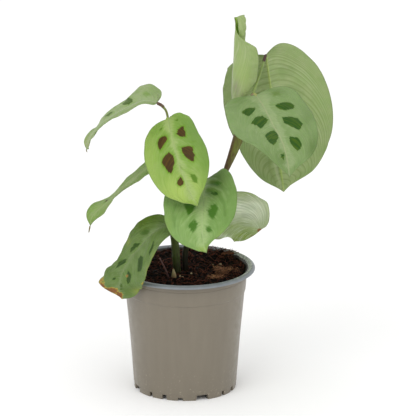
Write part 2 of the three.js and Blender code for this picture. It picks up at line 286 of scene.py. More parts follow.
def layFloor():
    # rolled matt background paper, faintly cloudy over about 30 cm
    paper, tree, at = newMaterial("mattBackgroundPaper", {"cloud": (333, 2, 0.5)})
    tone = layCoats(tree, at, studio, "floor", [("floorCloud", "cloud")])
    wire(tree, tree.nodes["Principled BSDF"], {
        "Base Color": tone, "Roughness": 0.9, "Specular IOR Level": 0.1})
    half = studio["floorWidth"] / 2 / mm
    corners = [(-half, -half, 0), (half, -half, 0), (half, half, 0), (-half, half, 0)]
    newPiece("paperFloor", corners, [(0, 1, 2, 3)], [paper])


placeCamera()
lightRoom()
layFloor()
print("camera, lamps and floor placed")


# pot: a thin round nursery pot, turned profile with a rolled rim and notched feet
pot = {
    # radius, height, how much the corner is rounded
    "foot": [(10, 0, 0.6), (10.5, 3.6, 0.6), (41.1, 3.6, 0.5), (41.1, 0, 0.4), (43.5, 0, 0.5)],
    "outside": [(43.86, 5.4, 0.2), (44.08, 5.7, 0.2), (45.35, 23, 6), (47, 45, 6), (49, 66, 6),
                (50.6, 82, 2), (50.95, 86.6, 0.3), (51.75, 87.3, 0.3), (52.3, 93, 2),
                (52.62, 99.6, 0.2), (52.3, 100, 0.2), (52.72, 100.5, 0.2), (52.9, 105, 0.8)],
    "rim": [(57, 106.7, 0.6), (59.2, 105.1, 0.3), (60, 105.5, 0.4), (59.7, 106.7, 0.7),
            (58.4, 107.8, 1.2), (56.5, 108.2, 1), (54.8, 107.6, 1), (53.4, 106.2, 0.8)],
    "inside": [(51.98, 104.4, 0.6), (51.4, 93, 2), (50.95, 88, 1), (50.3, 86, 1), (49.7, 82, 2),
               (44.45, 23, 4), (42.9, 4.6, 0.8)],
    "footRadius": 43.5, "footHollow": 40.9, "floorUnder": 3.58, "floorTop": 4.6,
    # gaps between the feet, the same in each quarter: degrees on from the first, width, height
    "gaps": [(0, 11, 4.4), (28, 3.6, 4.2), (46, 4.6, 4.2), (64.5, 4.8, 2.4)],
    "firstGap": 20, "gapFlank": 0.5,
    # heights between which dried peat thickens, and radii between which lime does;
    # then how dark the painted shade on the left of the rim is
    "peatStart": 107.9, "peatFull": 106, "limeStart": 59, "limeFull": 57, "leftRimShade": 0.4,
    # the rim's two tones are painted reflection of the pale room, mottled
    "colour": "#776f60", "shade": "#70685a", "rimReflection": "#83898d", "rimReflectionDark": "#656b70",
    "dust": "#a49b8a", "lime": "#cfd1cd", "driedPeatAndShade": "#1c150f",
    "roughness": 0.42,
}
footGaps = [(pot["firstGap"] + 90 * quarter + turn, width, tall)
            for quarter in range(4) for turn, width, tall in pot["gaps"]]
footDegrees = math.degrees(1 / pot["footRadius"])  # turn for each mm round the foot


def roundCorners(corners, steps=4):
    path = [corners[0][:2]]
    for before, corner, after in zip(corners, corners[1:], corners[2:]):
        here = np.array(corner[:2], float)
        legs = [np.array(end[:2], float) - here for end in (before, after)]
        ends = []
        for leg in legs:
            size = np.linalg.norm(leg)
            ends.append(here + leg / size * min(corner[2], 0.45 * size))
        for t in np.linspace(0, 1, steps):
            path.append(tuple((1 - t) ** 2 * ends[0] + 2 * t * (1 - t) * here + t * t * ends[1]))
    return path + [corners[-1][:2]]


def moulding(name, look):
    # injection-moulded polypropylene: satin and slightly waxy, faint flow streaks up the wall,
    # a fine eroded-steel grain, dusty near the foot, and a rim handled smooth; the rim's cooler
    # grey tone is painted reflection, and the dark on the rim's left is painted shade
    material, tree, at = newMaterial(name, {
        "flow": (9, 4, 0.6, 0.12),  # marks a few mm wide and tens of mm tall
        "dust": (1.8, 2, 0.5),      # specks about 1 mm across
        "mottle": (6, 3, 0.5),
        "crust": (3.5, 5, 0.75),    # patches of peat, a few mm across
        "spots": (2, 4, 0.7),       # hard water dries in spots about 2 mm across
        "grain": (0.5, 2, 0.5),     # drawn at 0.5 mm because the real 0.1 mm would not show
    }, ("peatAndShade", "limed"))
    at["height"] = addNode(tree, "SeparateXYZ", None, {"Vector": at["place"]}).outputs["Z"]
    addSteps(tree, at, [
        ("low", "MapRange", None, {"Value": "height", "From Min": 32 * mm, "From Max": -10 * mm}),
        ("peatAndShade", "Math", {"operation": "ADD"}, {0: "peatAndShade", 1: "crust"}),
        ("limed", "Math", {"operation": "ADD"}, {0: "limed", 1: "spots"})])
    # painted reflection: a cooler, greyer tone for the rim, mottled between two greys
    rim = layCoats(tree, at, look, "rimReflectionDark", [("rimReflection", "mottle")])
    tone = layCoats(tree, at, look, "shade", [
        ("colour", "flow", 0.2, 0.8, 1),
        ("dust", "dust", 0.64, 0.74, at["low"]),
        (rim, "height", 104.7 * mm, 105.7 * mm, 1),  # painted reflection: cooler and greyer
        ("lime", "limed", 0.97, 1.07, 0.8),
        # dried peat on the inner wall; on the rim at the left, painted shade in the same tone
        ("driedPeatAndShade", "peatAndShade", 0.95, 1.2, 0.95)])
    rough = look["roughness"]
    finishSurface(tree, tone, (at["mottle"], 0.3, 0.7, rough - 0.07, rough + 0.09),
                  (at["grain"], 0.12, 0.1), {
                      "IOR": 1.49, "Coat Weight": 0.18,  # the skin of the moulding, glossier
                      "Coat Roughness": 0.22})
    return material


def gapHeight(degrees):
    # how far the foot is cut away at each turn round the pot
    flank = pot["gapFlank"] * footDegrees
    height = np.zeros_like(degrees)
    for middle, width, tall in footGaps:
        away = np.abs((degrees - middle + 180) % 360 - 180)
        half = width / 2 * footDegrees
        height = np.maximum(height, tall * (1 - easeStep(half - flank, half, away)))
    return height


def makePot():
    # points are closer together at the flanks of each gap
    turns = set(np.linspace(0, 360, 240, endpoint=False))
    for middle, width, _ in footGaps:
        for inset in (0, 0.15, 0.3, 0.5, 0.7):
            half = (width / 2 - inset) * footDegrees
            turns.update(((middle - half) % 360, (middle + half) % 360))
    turns = np.array(sorted(turns))
    turns = turns[np.concatenate([[True], np.diff(turns) > 0.05])]
    middleUnder, middleOver = (5, 0, 0.1), (20, pot["floorTop"], 0.1)
    profile = roundCorners([middleUnder, *pot["foot"], *pot["outside"], *pot["rim"],
                            *pot["inside"], middleOver])
    rimTop = max(range(len(profile)), key=lambda k: profile[k][1])
    cut = gapHeight(turns)
    right, back = np.sin(np.radians(turns)), -np.cos(np.radians(turns))
    points, peatAndShade, limed = [], [], []
    aboveGaps = 5  # mm, where the wall is whole all the way round
    for k, (radius, height) in enumerate(profile):
        z = np.full(len(turns), float(height))
        if k < rimTop and radius > pot["footHollow"] and height < aboveGaps:
            top = pot["floorUnder"] if radius < pot["footHollow"] + 0.5 else aboveGaps
            z = height + np.minimum(cut, top - 0.02) * np.clip(1 - height / top, 0, 1)
        points.append(np.column_stack([right * radius, back * radius, z]))
        # peat: full at the soil, thin on the rim's inner slope; on the rim at the left the
        # same dark tone is painted shade
        share = easeStep(pot["peatStart"], pot["peatFull"], height) if k > rimTop else 0
        # painted shade: the left of the rim darkened with the dried-peat tone
        leftRimShade = pot["leftRimShade"] * easeStep(-0.1, -0.9, right) if height > 104 and radius > 53 else 0
        peatAndShade.append(np.maximum(share * (0.85 + 0.1 * back), leftRimShade))
        # lime: on the inner half of the rim, most at the right
        inner = easeStep(pot["limeStart"], pot["limeFull"], radius) if height > 105.6 else 0
        limed.append(inner * (0.22 + 0.33 * right))
    rings, sides = len(points), len(turns)
    points = np.vstack([*points, [[0, 0, 0], [0, 0, pot["floorTop"]]]])
    faces = ringFaces(rings, sides)
    under, over, last = rings * sides, rings * sides + 1, (rings - 1) * sides
    for j in range(sides):
        k = (j + 1) % sides
        faces += [(under, k, j), (over, last + j, last + k)]
    layers = {"peatAndShade": np.append(np.concatenate(peatAndShade), [0, 0]),
              "limed": np.append(np.concatenate(limed), [0, 0])}
    material = moulding("mouldedPolypropylene", pot)
    standFor(newPiece("nurseryPot", points, faces, [material], layers), "pot")


makePot()
print("pot turned and notched")


# soil: peat with coir fibre, bark crumbs and a little perlite
soil = {
    "level": 104.2, "edge": 51.6, "grid": 210,
    # radius and height of its side, down inside the pot, and of its underside
    "side": [(51.1, 96), (50.4, 88), (49.4, 82), (44.1, 23), (42.4, 4.9)],
    "crumbs": [(9, 1.4), (4, 1.5), (1.9, 1.0), (0.9, 0.35)],  # size and height, mm
    "peat": "#070503", "peatRed": "#150c07", "peatDark": "#020101",
    "heapRise": 1.6, "heapAt": (30, 32), "backRise": 1.6,
    "fibres": 560, "fibreLength": (4, 17), "fibreRadius": (0.1, 0.3), "fibreReach": 50.6,
    "fibreLook": {"pale": "#6c3c2a", "dark": "#070402"},
    # springy ends that stand up along the back and right, turns in radians from +X
    "strays": 150, "strayReach": (45, 50.8), "strayTurn": (-0.7, 2.7), "strayRadius": 0.16,
    # fibres lying across the rim at the back right: reach and height, then the end's range
    "overRim": 42, "overRimTurn": (0.68, 1.5), "overRimRadius": (0.2, 0.42),
    "overRimPath": [(46.5, 106.8), (49.5, 107.9), (52, 108.6)], "overRimEnd": (52.8, 57.5, 108.9),
    # where pale coir lies in heaps: centre, half width, strands
    "paleHeaps": [((29, 4), 5, 40), ((26, -22), 7, 90), ((38, -2), 8, 60)],
    "heapLook": {"pale": "#b58560", "dark": "#2e1a10"},
    "bits": 230, "bitSize": (0.8, 3.2), "bitLook": {"pale": "#1d120d", "dark": "#050302"},
    "perlite": 5, "perliteSeen": [(-4.3, -21.5), (-2.4, -23)],
    "perliteLook": {"pale": "#b3a283", "dark": "#857558"},
}


def soilRise(x, y):
    waves = 0.7 * np.sin(x / 8 + 1) * np.cos(y / 9) + 0.4 * np.sin(y / 5 + x / 13)
    heapX, heapY = soil["heapAt"]
    heap = soil["heapRise"] * np.exp(-((x - heapX) ** 2 + (y - heapY) ** 2) / 20 ** 2)
    return waves + heap + soil["backRise"] * easeStep(8, 42, y)


def soilHeight(x, y):
    # one spot of the surface with its crumbs
    z = soil["level"] + float(soilRise(x, y))
    for size, tall in soil["crumbs"]:
        z += tall * noise.noise(Vector((x / size, y / size, 7.3)))
    return z


def peatSoil(name, look):
    # milled peat: almost black where damp, reddish where dry, dead matt, grains of 1 to 4 mm
    material, tree, at = newMaterial(name, {
        "dry": (7, 5, 0.7), "wet": (2.4, 4, 0.75), "grain": (0.7, 3, 0.8)})
    tone = layCoats(tree, at, look, "peatDark", [
        ("peat", "wet", 0.35, 0.6, 1), ("peatRed", "dry", 0.42, 0.68, 1)])
    finishSurface(tree, tone, (at["wet"], 0, 1, 0.75, 1.0), (at["grain"], 0.7, 0.5),
                  {"Specular IOR Level": 0.08})
    return material


def dryFibre(name, look, grainSize):
    # coir or bark fibre: dry, rough, patchy from straw to dark red-brown
    # its fine grain is drawn at 0.4 mm because the real 0.1 mm would not show
    material, tree, at = newMaterial(name, {"patch": (grainSize, 4, 0.7), "fine": (0.4, 2, 0.5)})
    tone = layCoats(tree, at, look, "dark", [("pale", "patch", 0.35, 0.65, 1)])
    finishSurface(tree, tone, (at["patch"], 0, 1, 0.7, 0.95), (at["fine"], 0.5, 0.15),
                  {"Specular IOR Level": 0.15})
    return material


def makeSoil():
    n = soil["grid"]
    a, b = np.meshgrid(np.linspace(-1, 1, n), np.linspace(-1, 1, n), indexing="ij")
    x = (a * np.sqrt(1 - b * b / 2) * soil["edge"]).ravel()
    y = (b * np.sqrt(1 - a * a / 2) * soil["edge"]).ravel()
    z = np.array([soilHeight(*spot) for spot in zip(x, y)])
    points, faces = np.stack([x, y, z], -1), gridFaces(n, n, 0, False)
    border = gridBorder(n, n)
    ring, count = border, len(border)
    for radius, height in soil["side"]:
        start = len(points)
        outward = points[border][:, :2] / soil["edge"]
        points = np.vstack([points, np.column_stack([outward * radius, np.full(count, height)])])
        lower = list(range(start, start + count))
        for k in range(count):
            after = (k + 1) % count
            faces.append((ring[k], ring[after], lower[after], lower[k]))
        ring = lower
    points = np.vstack([points, [[0, 0, soil["side"][-1][1]]]])
    faces += [(len(points) - 1, ring[k], ring[(k + 1) % count]) for k in range(count)]
    piece = newPiece("peatSoil", points, faces, [peatSoil("milledPeat", soil)])
    standFor(piece, "soil")


def addStrand(heap, path, radius, swell=0.35, steps=2):
    # a thread joined to a heap: thickest in the middle or, without a swell, at its first end
    spots, _, headings = throughPoints(path, steps)
    shape = np.linspace(1, 0.5, len(spots))
    if swell:
        shape = np.sin(np.linspace(swell, math.pi - swell, len(spots)))
    points, faces = tube(spots, headings, radius * shape, 5, len(heap["points"]))
    heap["points"].extend(points)
    heap["faces"].extend(faces)


def turned(x, y, turn):
    return (x * math.cos(turn) - y * math.sin(turn), x * math.sin(turn) + y * math.cos(turn))


def addCrumb(heap, centre, size, flat, pick):
    # one lumpy grain: a small ball, squashed and knocked out of round
    rings, sides, narrow = 4, 6, 0.62
    turn, shift = pick.uniform(0, math.pi), pick.uniform(0, 50)
    heap["faces"].extend(ringFaces(rings + 1, sides, len(heap["points"]), False))
    for i in range(rings + 1):
        for j in range(sides):
            a, b = math.pi * i / rings, 2 * math.pi * j / sides
            spot = Vector((math.sin(a) * math.cos(b), math.sin(a) * math.sin(b), math.cos(a)))
            spot *= 1 + 0.55 * noise.noise(spot * 1.3 + Vector((shift, 0, 0)))
            x, y = turned(spot.x * size, spot.y * size * narrow, turn)
            heap["points"].append((centre[0] + x, centre[1] + y, centre[2] + spot.z * size * flat))


def standHeap(name, heap, material, node):
    standFor(newPiece(name, heap["points"], heap["faces"], [material]), node)


def anySpot(reach, pick):
    # evenly spread over a disc
    out, turn = reach * math.sqrt(pick.random()), pick.uniform(0, 2 * math.pi)
    return out * math.cos(turn), out * math.sin(turn)


def fibrePath(start, heading, length, pick, wander=0.5):
    # a springy thread that lies on the soil and lifts here and there, cut off at the wall
    spots, steps = [], 7
    x, y = start
    for i in range(steps):
        lift = 0.35 + 0.9 * math.sin(math.pi * i / (steps - 1)) * pick.uniform(0, 1)
        if math.hypot(x, y) < soil["fibreReach"]:
            spots.append((x, y, soilHeight(x, y) + lift))
        heading += pick.uniform(-wander, wander)
        x += math.cos(heading) * length / steps
        y += math.sin(heading) * length / steps
    return spots


def scatterFibres(pick):
    heap = {"points": [], "faces": []}
    for _ in range(soil["fibres"]):
        start, length = anySpot(49, pick), pick.uniform(*soil["fibreLength"])
        path = fibrePath(start, pick.uniform(0, 2 * math.pi), length, pick)
        if len(path) > 3:
            addStrand(heap, path, pick.uniform(*soil["fibreRadius"]))
    for _ in range(soil["strays"]):
        reach, turn = pick.uniform(*soil["strayReach"]), pick.uniform(*soil["strayTurn"])
        x, y = reach * math.cos(turn), reach * math.sin(turn)
        heading, path = pick.uniform(0, 2 * math.pi), []
        for k in range(4):
            path.append((x, y, soilHeight(x, y) + k * pick.uniform(0.2, 0.9)))
            x, y = x + math.cos(heading) * 1.3, y + math.sin(heading) * 1.3
            if math.hypot(x, y) > 51:
                x, y = x * 0.96, y * 0.96
        addStrand(heap, path, soil["strayRadius"], 0, 3)
    shortest, longest, low = soil["overRimEnd"]
    for _ in range(soil["overRim"]):
        turn, bend = pick.uniform(*soil["overRimTurn"]), pick.uniform(-0.07, 0.07)
        end = (pick.uniform(shortest, longest), low + pick.uniform(0, 1.2))
        path = []
        for reach, height in (*soil["overRimPath"], end):
            path.append((reach * math.cos(turn), reach * math.sin(turn), height))
            turn += bend
        addStrand(heap, path, pick.uniform(*soil["overRimRadius"]), 0, 3)
    fibre = dryFibre("coirFibre", soil["fibreLook"], 3)
    standHeap("soilFibres", heap, fibre, None)

    heap = {"points": [], "faces": []}
    for (cx, cy), wide, strands in soil["paleHeaps"]:
        for _ in range(strands):
            start = cx + pick.gauss(0, 0.5) * wide, cy + pick.gauss(0, 0.5) * wide
            path = fibrePath(start, pick.uniform(0, 2 * math.pi), pick.uniform(3, 8), pick, 0.9)
            if len(path) > 3:
                addStrand(heap, path, pick.uniform(0.12, 0.36))
    straw = dryFibre("paleCoir", soil["heapLook"], 2)
    standHeap("paleFibres", heap, straw, None)


def scatterGrains(pick):
    heap = {"points": [], "faces": []}
    for _ in range(soil["bits"]):
        x, y = anySpot(49.5, pick)
        size = pick.uniform(*soil["bitSize"]) * pick.uniform(0.4, 1)
        addCrumb(heap, (x, y, soilHeight(x, y) + 0.15 * size), size, 0.45, pick)
    bark = dryFibre("compostedBark", soil["bitLook"], 3)
    standHeap("barkCrumbs", heap, bark, None)

    heap = {"points": [], "faces": []}
    spots = list(soil["perliteSeen"])
    while len(spots) < soil["perlite"]:
        spots.append(anySpot(47, pick))
    for x, y in spots:
        size = pick.uniform(0.7, 1.5)
        addCrumb(heap, (x, y, soilHeight(x, y) + 0.3 * size), size, 0.8, pick)
    perlite = dryFibre("expandedPerlite", soil["perliteLook"], 1.2)
    standHeap("perliteGrains", heap, perlite, None)


# a clump of coir teased out of the soil: centre, half sizes and turn as in the CAD
coirClump = {"centre": (31, -10, 105), "half": (7, 11, 3.2), "turn": 20, "strands": 130,
             "strandRadius": (0.14, 0.38), "pale": "#97694b", "dark": "#1e110a"}


def makeCoirClump():
    pick = random.Random(5)
    heap, core = {"points": [], "faces": []}, {"points": [], "faces": []}
    spin = math.radians(coirClump["turn"])
    cx, cy, cz = coirClump["centre"]
    hx, hy, hz = coirClump["half"]
    for _ in range(coirClump["strands"]):
        # each strand arches over the clump between two spots low on its edge
        turn = pick.uniform(0, 2 * math.pi)
        across = turn + math.pi + pick.uniform(-1.1, 1.1)
        reach, bulge = pick.uniform(0.35, 0.96), pick.uniform(0.1, 0.95)
        path = []
        for t in np.linspace(0, 1, 6):
            x = hx * reach * ((1 - t) * math.cos(turn) + t * math.cos(across))
            y = hy * reach * ((1 - t) * math.sin(turn) + t * math.sin(across))
            x, y = x + pick.uniform(-0.5, 0.5), y + pick.uniform(-0.5, 0.5)
            rim = max(0.0, 1 - (x / hx) ** 2 - (y / hy) ** 2)
            sx, sy = turned(x, y, spin)
            path.append((cx + sx, cy + sy, cz + hz * bulge * math.sqrt(rim) * 0.96))
        addStrand(heap, path, pick.uniform(*coirClump["strandRadius"]), 0.4, 3)
    addCrumb(core, (0, 0, 0), 1, 1, pick)
    start = len(heap["points"])
    for x, y, z in core["points"]:
        sx, sy = turned(x * hx * 0.7, y * hy * 1.1, spin)
        heap["points"].append((cx + sx, cy + sy, cz - 0.4 + z * hz * 0.6))
    heap["faces"].extend(tuple(start + k for k in face) for face in core["faces"])
    material = dryFibre("teasedCoir", coirClump, 2)
    standHeap("coirTangle", heap, material, "coir_clump")


barkStick = {"centre": (36.5, 31, 108.3), "half": 5.5, "radius": 1.05, "turn": 12, "rise": 0.02,
             "pale": "#6b4630", "dark": "#3a2417"}


def makeBarkStick():
    turn, sides = math.radians(barkStick["turn"]), 12
    way = np.array([math.cos(turn), math.sin(turn), barkStick["rise"]])
    shares = np.linspace(-0.97, 0.97, 26)
    spots = np.array(barkStick["centre"]) + np.outer(shares * barkStick["half"], way)
    headings = np.tile(way / np.linalg.norm(way), (len(spots), 1))
    radii = []
    for i, share in enumerate(shares):
        ring = []
        for j in range(sides):
            rough = noise.noise(Vector((i * 0.35, math.cos(j * 0.52) * 2, math.sin(j * 0.52) * 2)))
            ring.append(barkStick["radius"] * (1 - 0.25 * abs(share) ** 4) * (1 + 0.3 * rough))
        radii.append(np.array(ring))
    points, faces = tube(spots, headings, radii, sides)
    material = dryFibre("splitBark", barkStick, 1.8)
    standFor(newPiece("splitBarkStick", points, faces, [material]), "bark_stick")


litterPick = random.Random(11)
makeSoil()
scatterFibres(litterPick)
scatterGrains(litterPick)
makeCoirClump()
makeBarkStick()
print("soil filled, fibres and crumbs scattered")


# stems: two leafy shoots, a sheath that wraps the upper one, a dead stalk and a bud
shoots = {
    # the near-black low and brown tones of both shoots are painted shade of the leaves above
    "frontShoot": {
        "node": "stem_front", "slot": "dark_stem",
        "path": [(-7, -9, 95), (-7, -9, 106), (-8, -7, 122), (-9.5, -4, 140), (-10, 0, 156)],
        "radii": [3.1, 3.3, 3.4, 3.3, 3.0], "nodes": [(0.38, 0.35), (0.66, 0.3)],
        "ribs": 9, "low": "#22280f", "high": "#526026", "brown": "#1b150c", "shine": 0.14,
    },
    "rearShoot": {
        # the rear shoot is almost black: painted shade of the centre leaf over it
        "node": "stem_rear", "slot": "dark_stem",
        "path": [(0, -2, 95), (0, -2, 106), (0.5, 0, 122), (6, 2, 138), (17, 3, 159),
                 (28, 4, 178), (34.5, 5, 191)],
        "radii": [2.4, 2.5, 2.5, 2.4, 2.3, 2.2, 2.1], "nodes": [(0.42, 0.3), (0.7, 0.3)],
        "ribs": 8, "low": "#0b0a06", "high": "#4d552a", "brown": "#120d08", "shine": 0.1,
    },
    "leafSheath": {
        "node": "leaf_sheath", "slot": "sheath",
        "path": [(34.6, 5.05, 191), (40, 5, 205), (45.5, 4.2, 221), (51, 3.2, 238),
                 (56.5, 2.4, 257)],
        "radii": [2.2, 3.6, 4.8, 4.2, 2.4], "nodes": [], "lap": 0.22,
        "ribs": 14, "low": "#6d7038", "high": "#6e7c36", "brown": "#5a4934", "brownSide": -0.45,
        "shine": 0.1,
    },
    "deadStalk": {
        "node": "dry_twig", "slot": "dry_stalk",
        "path": [(-13.5, -27, 101), (-14, -27, 105), (-17.5, -28.5, 115), (-21.5, -30, 124)],
        "radii": [0.8, 0.8, 0.65, 0.5], "nodes": [], "ribs": 5, "wrinkle": 0.44,
        "low": "#3f2a26", "high": "#6b4a44", "brown": "#2b1c18",
    },
    "baseBud": {
        "node": "basal_bud", "slot": "bud",
        "path": [(-9.5, -25, 102), (-9.5, -25, 106), (-9.8, -25, 110), (-10, -24.5, 112.5)],
        "radii": [1.9, 1.9, 1.6, 0.5], "nodes": [(0.45, 0.15)], "lap": 0.16,
        "ribs": 7, "low": "#5b4c30", "high": "#a39468", "brown": "#5c4a31",
    },
}


def stemSkin(name, look):
    # living stem epidermis: waxy and finely ribbed, green over brown-purple, smooth gloss
    material, tree, at = newMaterial(name, {
        "patch": (6, 3, 0.5),
        "streak": (1.5, 2, 0.5, 0.15),  # the brown flush runs up the stem in streaks 1.5 mm wide
    }, ("share", "flushAndShade"))
    addSteps(tree, at, [
        ("shifted", "Math", {"operation": "MULTIPLY_ADD"}, {0: "patch", 1: 0.5, 2: -0.25}),
        ("streaks", "MapRange", None, {"Value": "streak", "From Min": 0.45, "From Max": 0.75,
                                       "To Max": look.get("streaky", 0.8)}),
        ("green", "Math", {"operation": "ADD", "use_clamp": True}, {0: "share", 1: "shifted"}),
        ("brown", "Math", {"operation": "ADD", "use_clamp": True}, {0: "flushAndShade", 1: "streaks"})])
    tone = layCoats(tree, at, look, "low", [("high", "green"), ("brown", "brown")])
    finishSurface(tree, tone, (at["streak"], 0, 1, 0.35, 0.57), (at["streak"], 0.35, 0.2), {
        "Specular IOR Level": look.get("shine", 0.3), "Subsurface Weight": 0.08,
        "Subsurface Scale": 1.5 * mm})
    return material


def makeShoot(name, shoot, sides=32):
    spots, distance, headings = throughPoints(shoot["path"], 22)
    share = distance / distance[-1]
    turns = np.linspace(0, 2 * np.pi, sides, endpoint=False)
    radius = spread(shoot["radii"], share)[:, None] * np.ones(sides)
    for where, tall in shoot["nodes"]:  # a ring where a leaf once sat
        gap = (share - where) * distance[-1]
        radius += tall * np.exp(-(gap / 1.3) ** 2)[:, None]
    radius += 0.018 * radius * np.cos(shoot["ribs"] * turns)[None, :]
    if "lap" in shoot:  # the free edge of a wrapped sheath: a step that winds slowly round
        wind = (turns[None, :] + 0.9 * share[:, None]) % (2 * np.pi)
        radius += shoot["lap"] * easeStep(0, 5.9, wind) * easeStep(6.28, 6.0, wind)
    if "wrinkle" in shoot:
        for i in range(len(spots)):
            for j in range(sides):
                rough = noise.noise(Vector((i * 0.25, math.cos(turns[j]), math.sin(turns[j]))))
                radius[i, j] *= 1 + shoot["wrinkle"] * rough
    points, faces = tube(spots, headings, radius, sides)
    flushAndShade = np.repeat(0.75 * np.exp(-(share / 0.2) ** 2), sides)  # painted shade at the foot
    if "brownSide" in shoot:  # the side away from the window is flushed brown-purple
        sideways = (points[:len(flushAndShade), 0] - np.repeat(spots[:, 0], sides)) / radius.ravel()
        middle = shoot["brownSide"]
        flushAndShade = flushAndShade + 0.85 * easeStep(middle + 0.3, middle - 0.3, sideways)
    layers = {"share": np.append(np.repeat(share, sides), [0, 1]),
              "flushAndShade": np.append(flushAndShade, [0.5, 0])}
    piece = newPiece(name, points, faces, [stemSkin(name + "Skin", shoot)], layers)
    standFor(piece, shoot["node"])


for shootName, shootLook in shoots.items():
    makeShoot(shootName, shootLook)
print("stems grown")


# leaf stalks: thin and wiry, with a swollen joint at the blade that turns the leaf
stalkShape = {
    "radii": [1.45, 1.2, 1.1, 1.05, 1.05], "joint": 7, "jointSwell": 0.35,
    "low": "#5f7337", "high": "#7f9150", "brown": "#5d4a35",
    "browning": (2, 3),  # where the brown starts and ends, as shares of the length; 2: nowhere
}
stalks = {
    "upperLeftStalk": {
        "node": "stalk_upper_left", "joint": 9, "high": "#7d8a48", "brown": "#5e463a",
        "browning": (0.93, 1.0),
        "path": [(-10.4, 2.2, 156.5), (-10, 6.5, 172), (-12, 7, 205), (-14.6, 5, 238.5),
                 (-18.5, 3.2, 248.5), (-24, 0.9, 252.9)],
    },
    "frontStalk": {
        "node": "stalk_front", "joint": 6, "high": "#a3b860", "brown": "#7a6a3c",
        "path": [(-8.3, -1.3, 156.5), (-7, 1, 172), (-9.5, 2, 205), (-13, 1.2, 230),
                 (-14.8, -1, 238.5), (-14.6, -4.2, 240.2)],
    },
    "midLeftStalk": {
        "node": "stalk_mid_left", "high": "#7f8f4c",
        "path": [(-12, -1.2, 156.5), (-14, 2, 172), (-16.5, 4, 188), (-19.5, 4.5, 199),
                 (-22.5, 4, 201.3), (-25.4, 3, 199.7)],
    },
    "lowerLeftStalk": {
        "node": "stalk_lower_left", "low": "#4f5f2d", "high": "#6a7a3c",
        "path": [(-9.4, -7.4, 140.4), (-9.5, -14, 147), (-9, -22, 153), (-9.2, -30, 157.5),
                 (-10.2, -35.5, 159), (-12.5, -39.4, 158.1)],
    },
    "centreStalk": {
        "node": "stalk_centre", "joint": 6, "low": "#55642f",
        "path": [(10.6, -1.2, 151.2), (12.8, -3, 160), (14.5, -4, 170), (15.4, -6, 180),
                 (15.8, -7.6, 185), (16, -10.4, 186.1)],
    },
    "rearRightStalk": {
        "node": "stalk_rear_right", "joint": 6, "low": "#55642f",
        "path": [(20.2, 3.9, 156.2), (24.3, 6.5, 162), (29.5, 9.5, 168.5), (33.8, 11, 171.4),
                 (36, 11.8, 170.8), (37, 12.9, 169)],
    },
    "bigRearStalk": {
        "node": "stalk_big_rear", "joint": 9, "low": "#7c9150", "high": "#7f9352",
        "brown": "#4a3730", "browning": (0.8, 0.98), "streaky": 0.2,
        "path": [(57.5, 4.1, 257.4), (59.6, 7, 263.5), (63, 14, 272), (66.3, 20.5, 280.5),
                 (68, 25, 285.5), (69, 28, 287.6)],
    },
    "topFrontStalk": {
        "node": "stalk_top_front", "joint": 4, "low": "#7a6a4c", "high": "#9aa65a",
        "brown": "#8a6a5c", "browning": (0.0, 0.5),
        "path": [(56.8, 2.3, 257.8), (57.6, 1.2, 259.8), (58.2, 0.2, 260.7), (59, -0.8, 261),
                 (59.6, -1.6, 260.9), (60.6, -3, 260.5)],
    },
}


def makeStalk(name, stalk, sides=20):
    spots, distance, headings = throughPoints(stalk["path"], 16)
    share, fromTip = distance / distance[-1], distance[-1] - distance
    joint = stalk["joint"]
    swell = easeStep(joint, joint * 0.8, fromTip) * easeStep(-0.6, 1.6, fromTip)
    radius = spread(stalk["radii"], share) + stalk["jointSwell"] * swell
    radius = radius * (1 - 0.35 * easeStep(1.6, 0, fromTip))
    turns = np.linspace(0, 2 * np.pi, sides, endpoint=False)
    groove = 0.10 * np.exp(-((turns - np.pi) / 0.5) ** 2)  # a shallow channel down one side
    rings = radius[:, None] * (1 - groove + 0.012 * np.cos(7 * turns))[None, :]
    points, faces = tube(spots, headings, rings, sides)
    start, end = stalk["browning"]
    flushAndShade = np.where(share >= start, easeStep(start - 0.05, start + 0.05, share), 0)
    flushAndShade = flushAndShade * (1 - easeStep(end - 0.02, end + 0.08, share))
    layers = {"share": np.append(np.repeat(share, sides), [0, 1]),
              "flushAndShade": np.append(np.repeat(flushAndShade, sides), [flushAndShade[0], flushAndShade[-1]])}
    piece = newPiece(name, points, faces, [stemSkin(name + "Skin", stalk)], layers)
    standFor(piece, stalk["node"])


for stalkName, stalkLook in stalks.items():
    makeStalk(stalkName, {**stalkShape, **stalkLook})
print("stalks grown")


# leaves: each is a blade bent along its midrib, with its marks traced over the photograph
lamina = {
    "rows": 130, "columns": 61,
    "thick": 0.42, "ribHalf": 0.8, "grooveDeep": 0.28, "grooveHalf": 0.7,
    "fineVein": 1.15,  # mm between the parallel fine veins
    # marks on a side that the photograph doesn't show: length and place out, as shares
    "hiddenLong": (0.85, 1, 1, 0.85, 0.6), "hiddenOut": (0.38, 0.42, 0.38, 0.32, 0.24),
}


def onPicture(points):
    # where points given in mm fall on the photograph, in its pixels
    lift = math.radians(shot["elevation"])
    back = np.array([0, -math.cos(lift), math.sin(lift)])
    away = points - np.array(shot["aim"]) - back * shot["distance"]
    depth = -(away @ back)
    focal = shot["pixels"] * shot["lens"] / shot["sensor"]
    high = away @ np.array([0, math.sin(lift), math.cos(lift)])
    return (shot["pixels"] / 2 + focal * away[..., 0] / depth,
            shot["pixels"] / 2 - focal * high / depth)


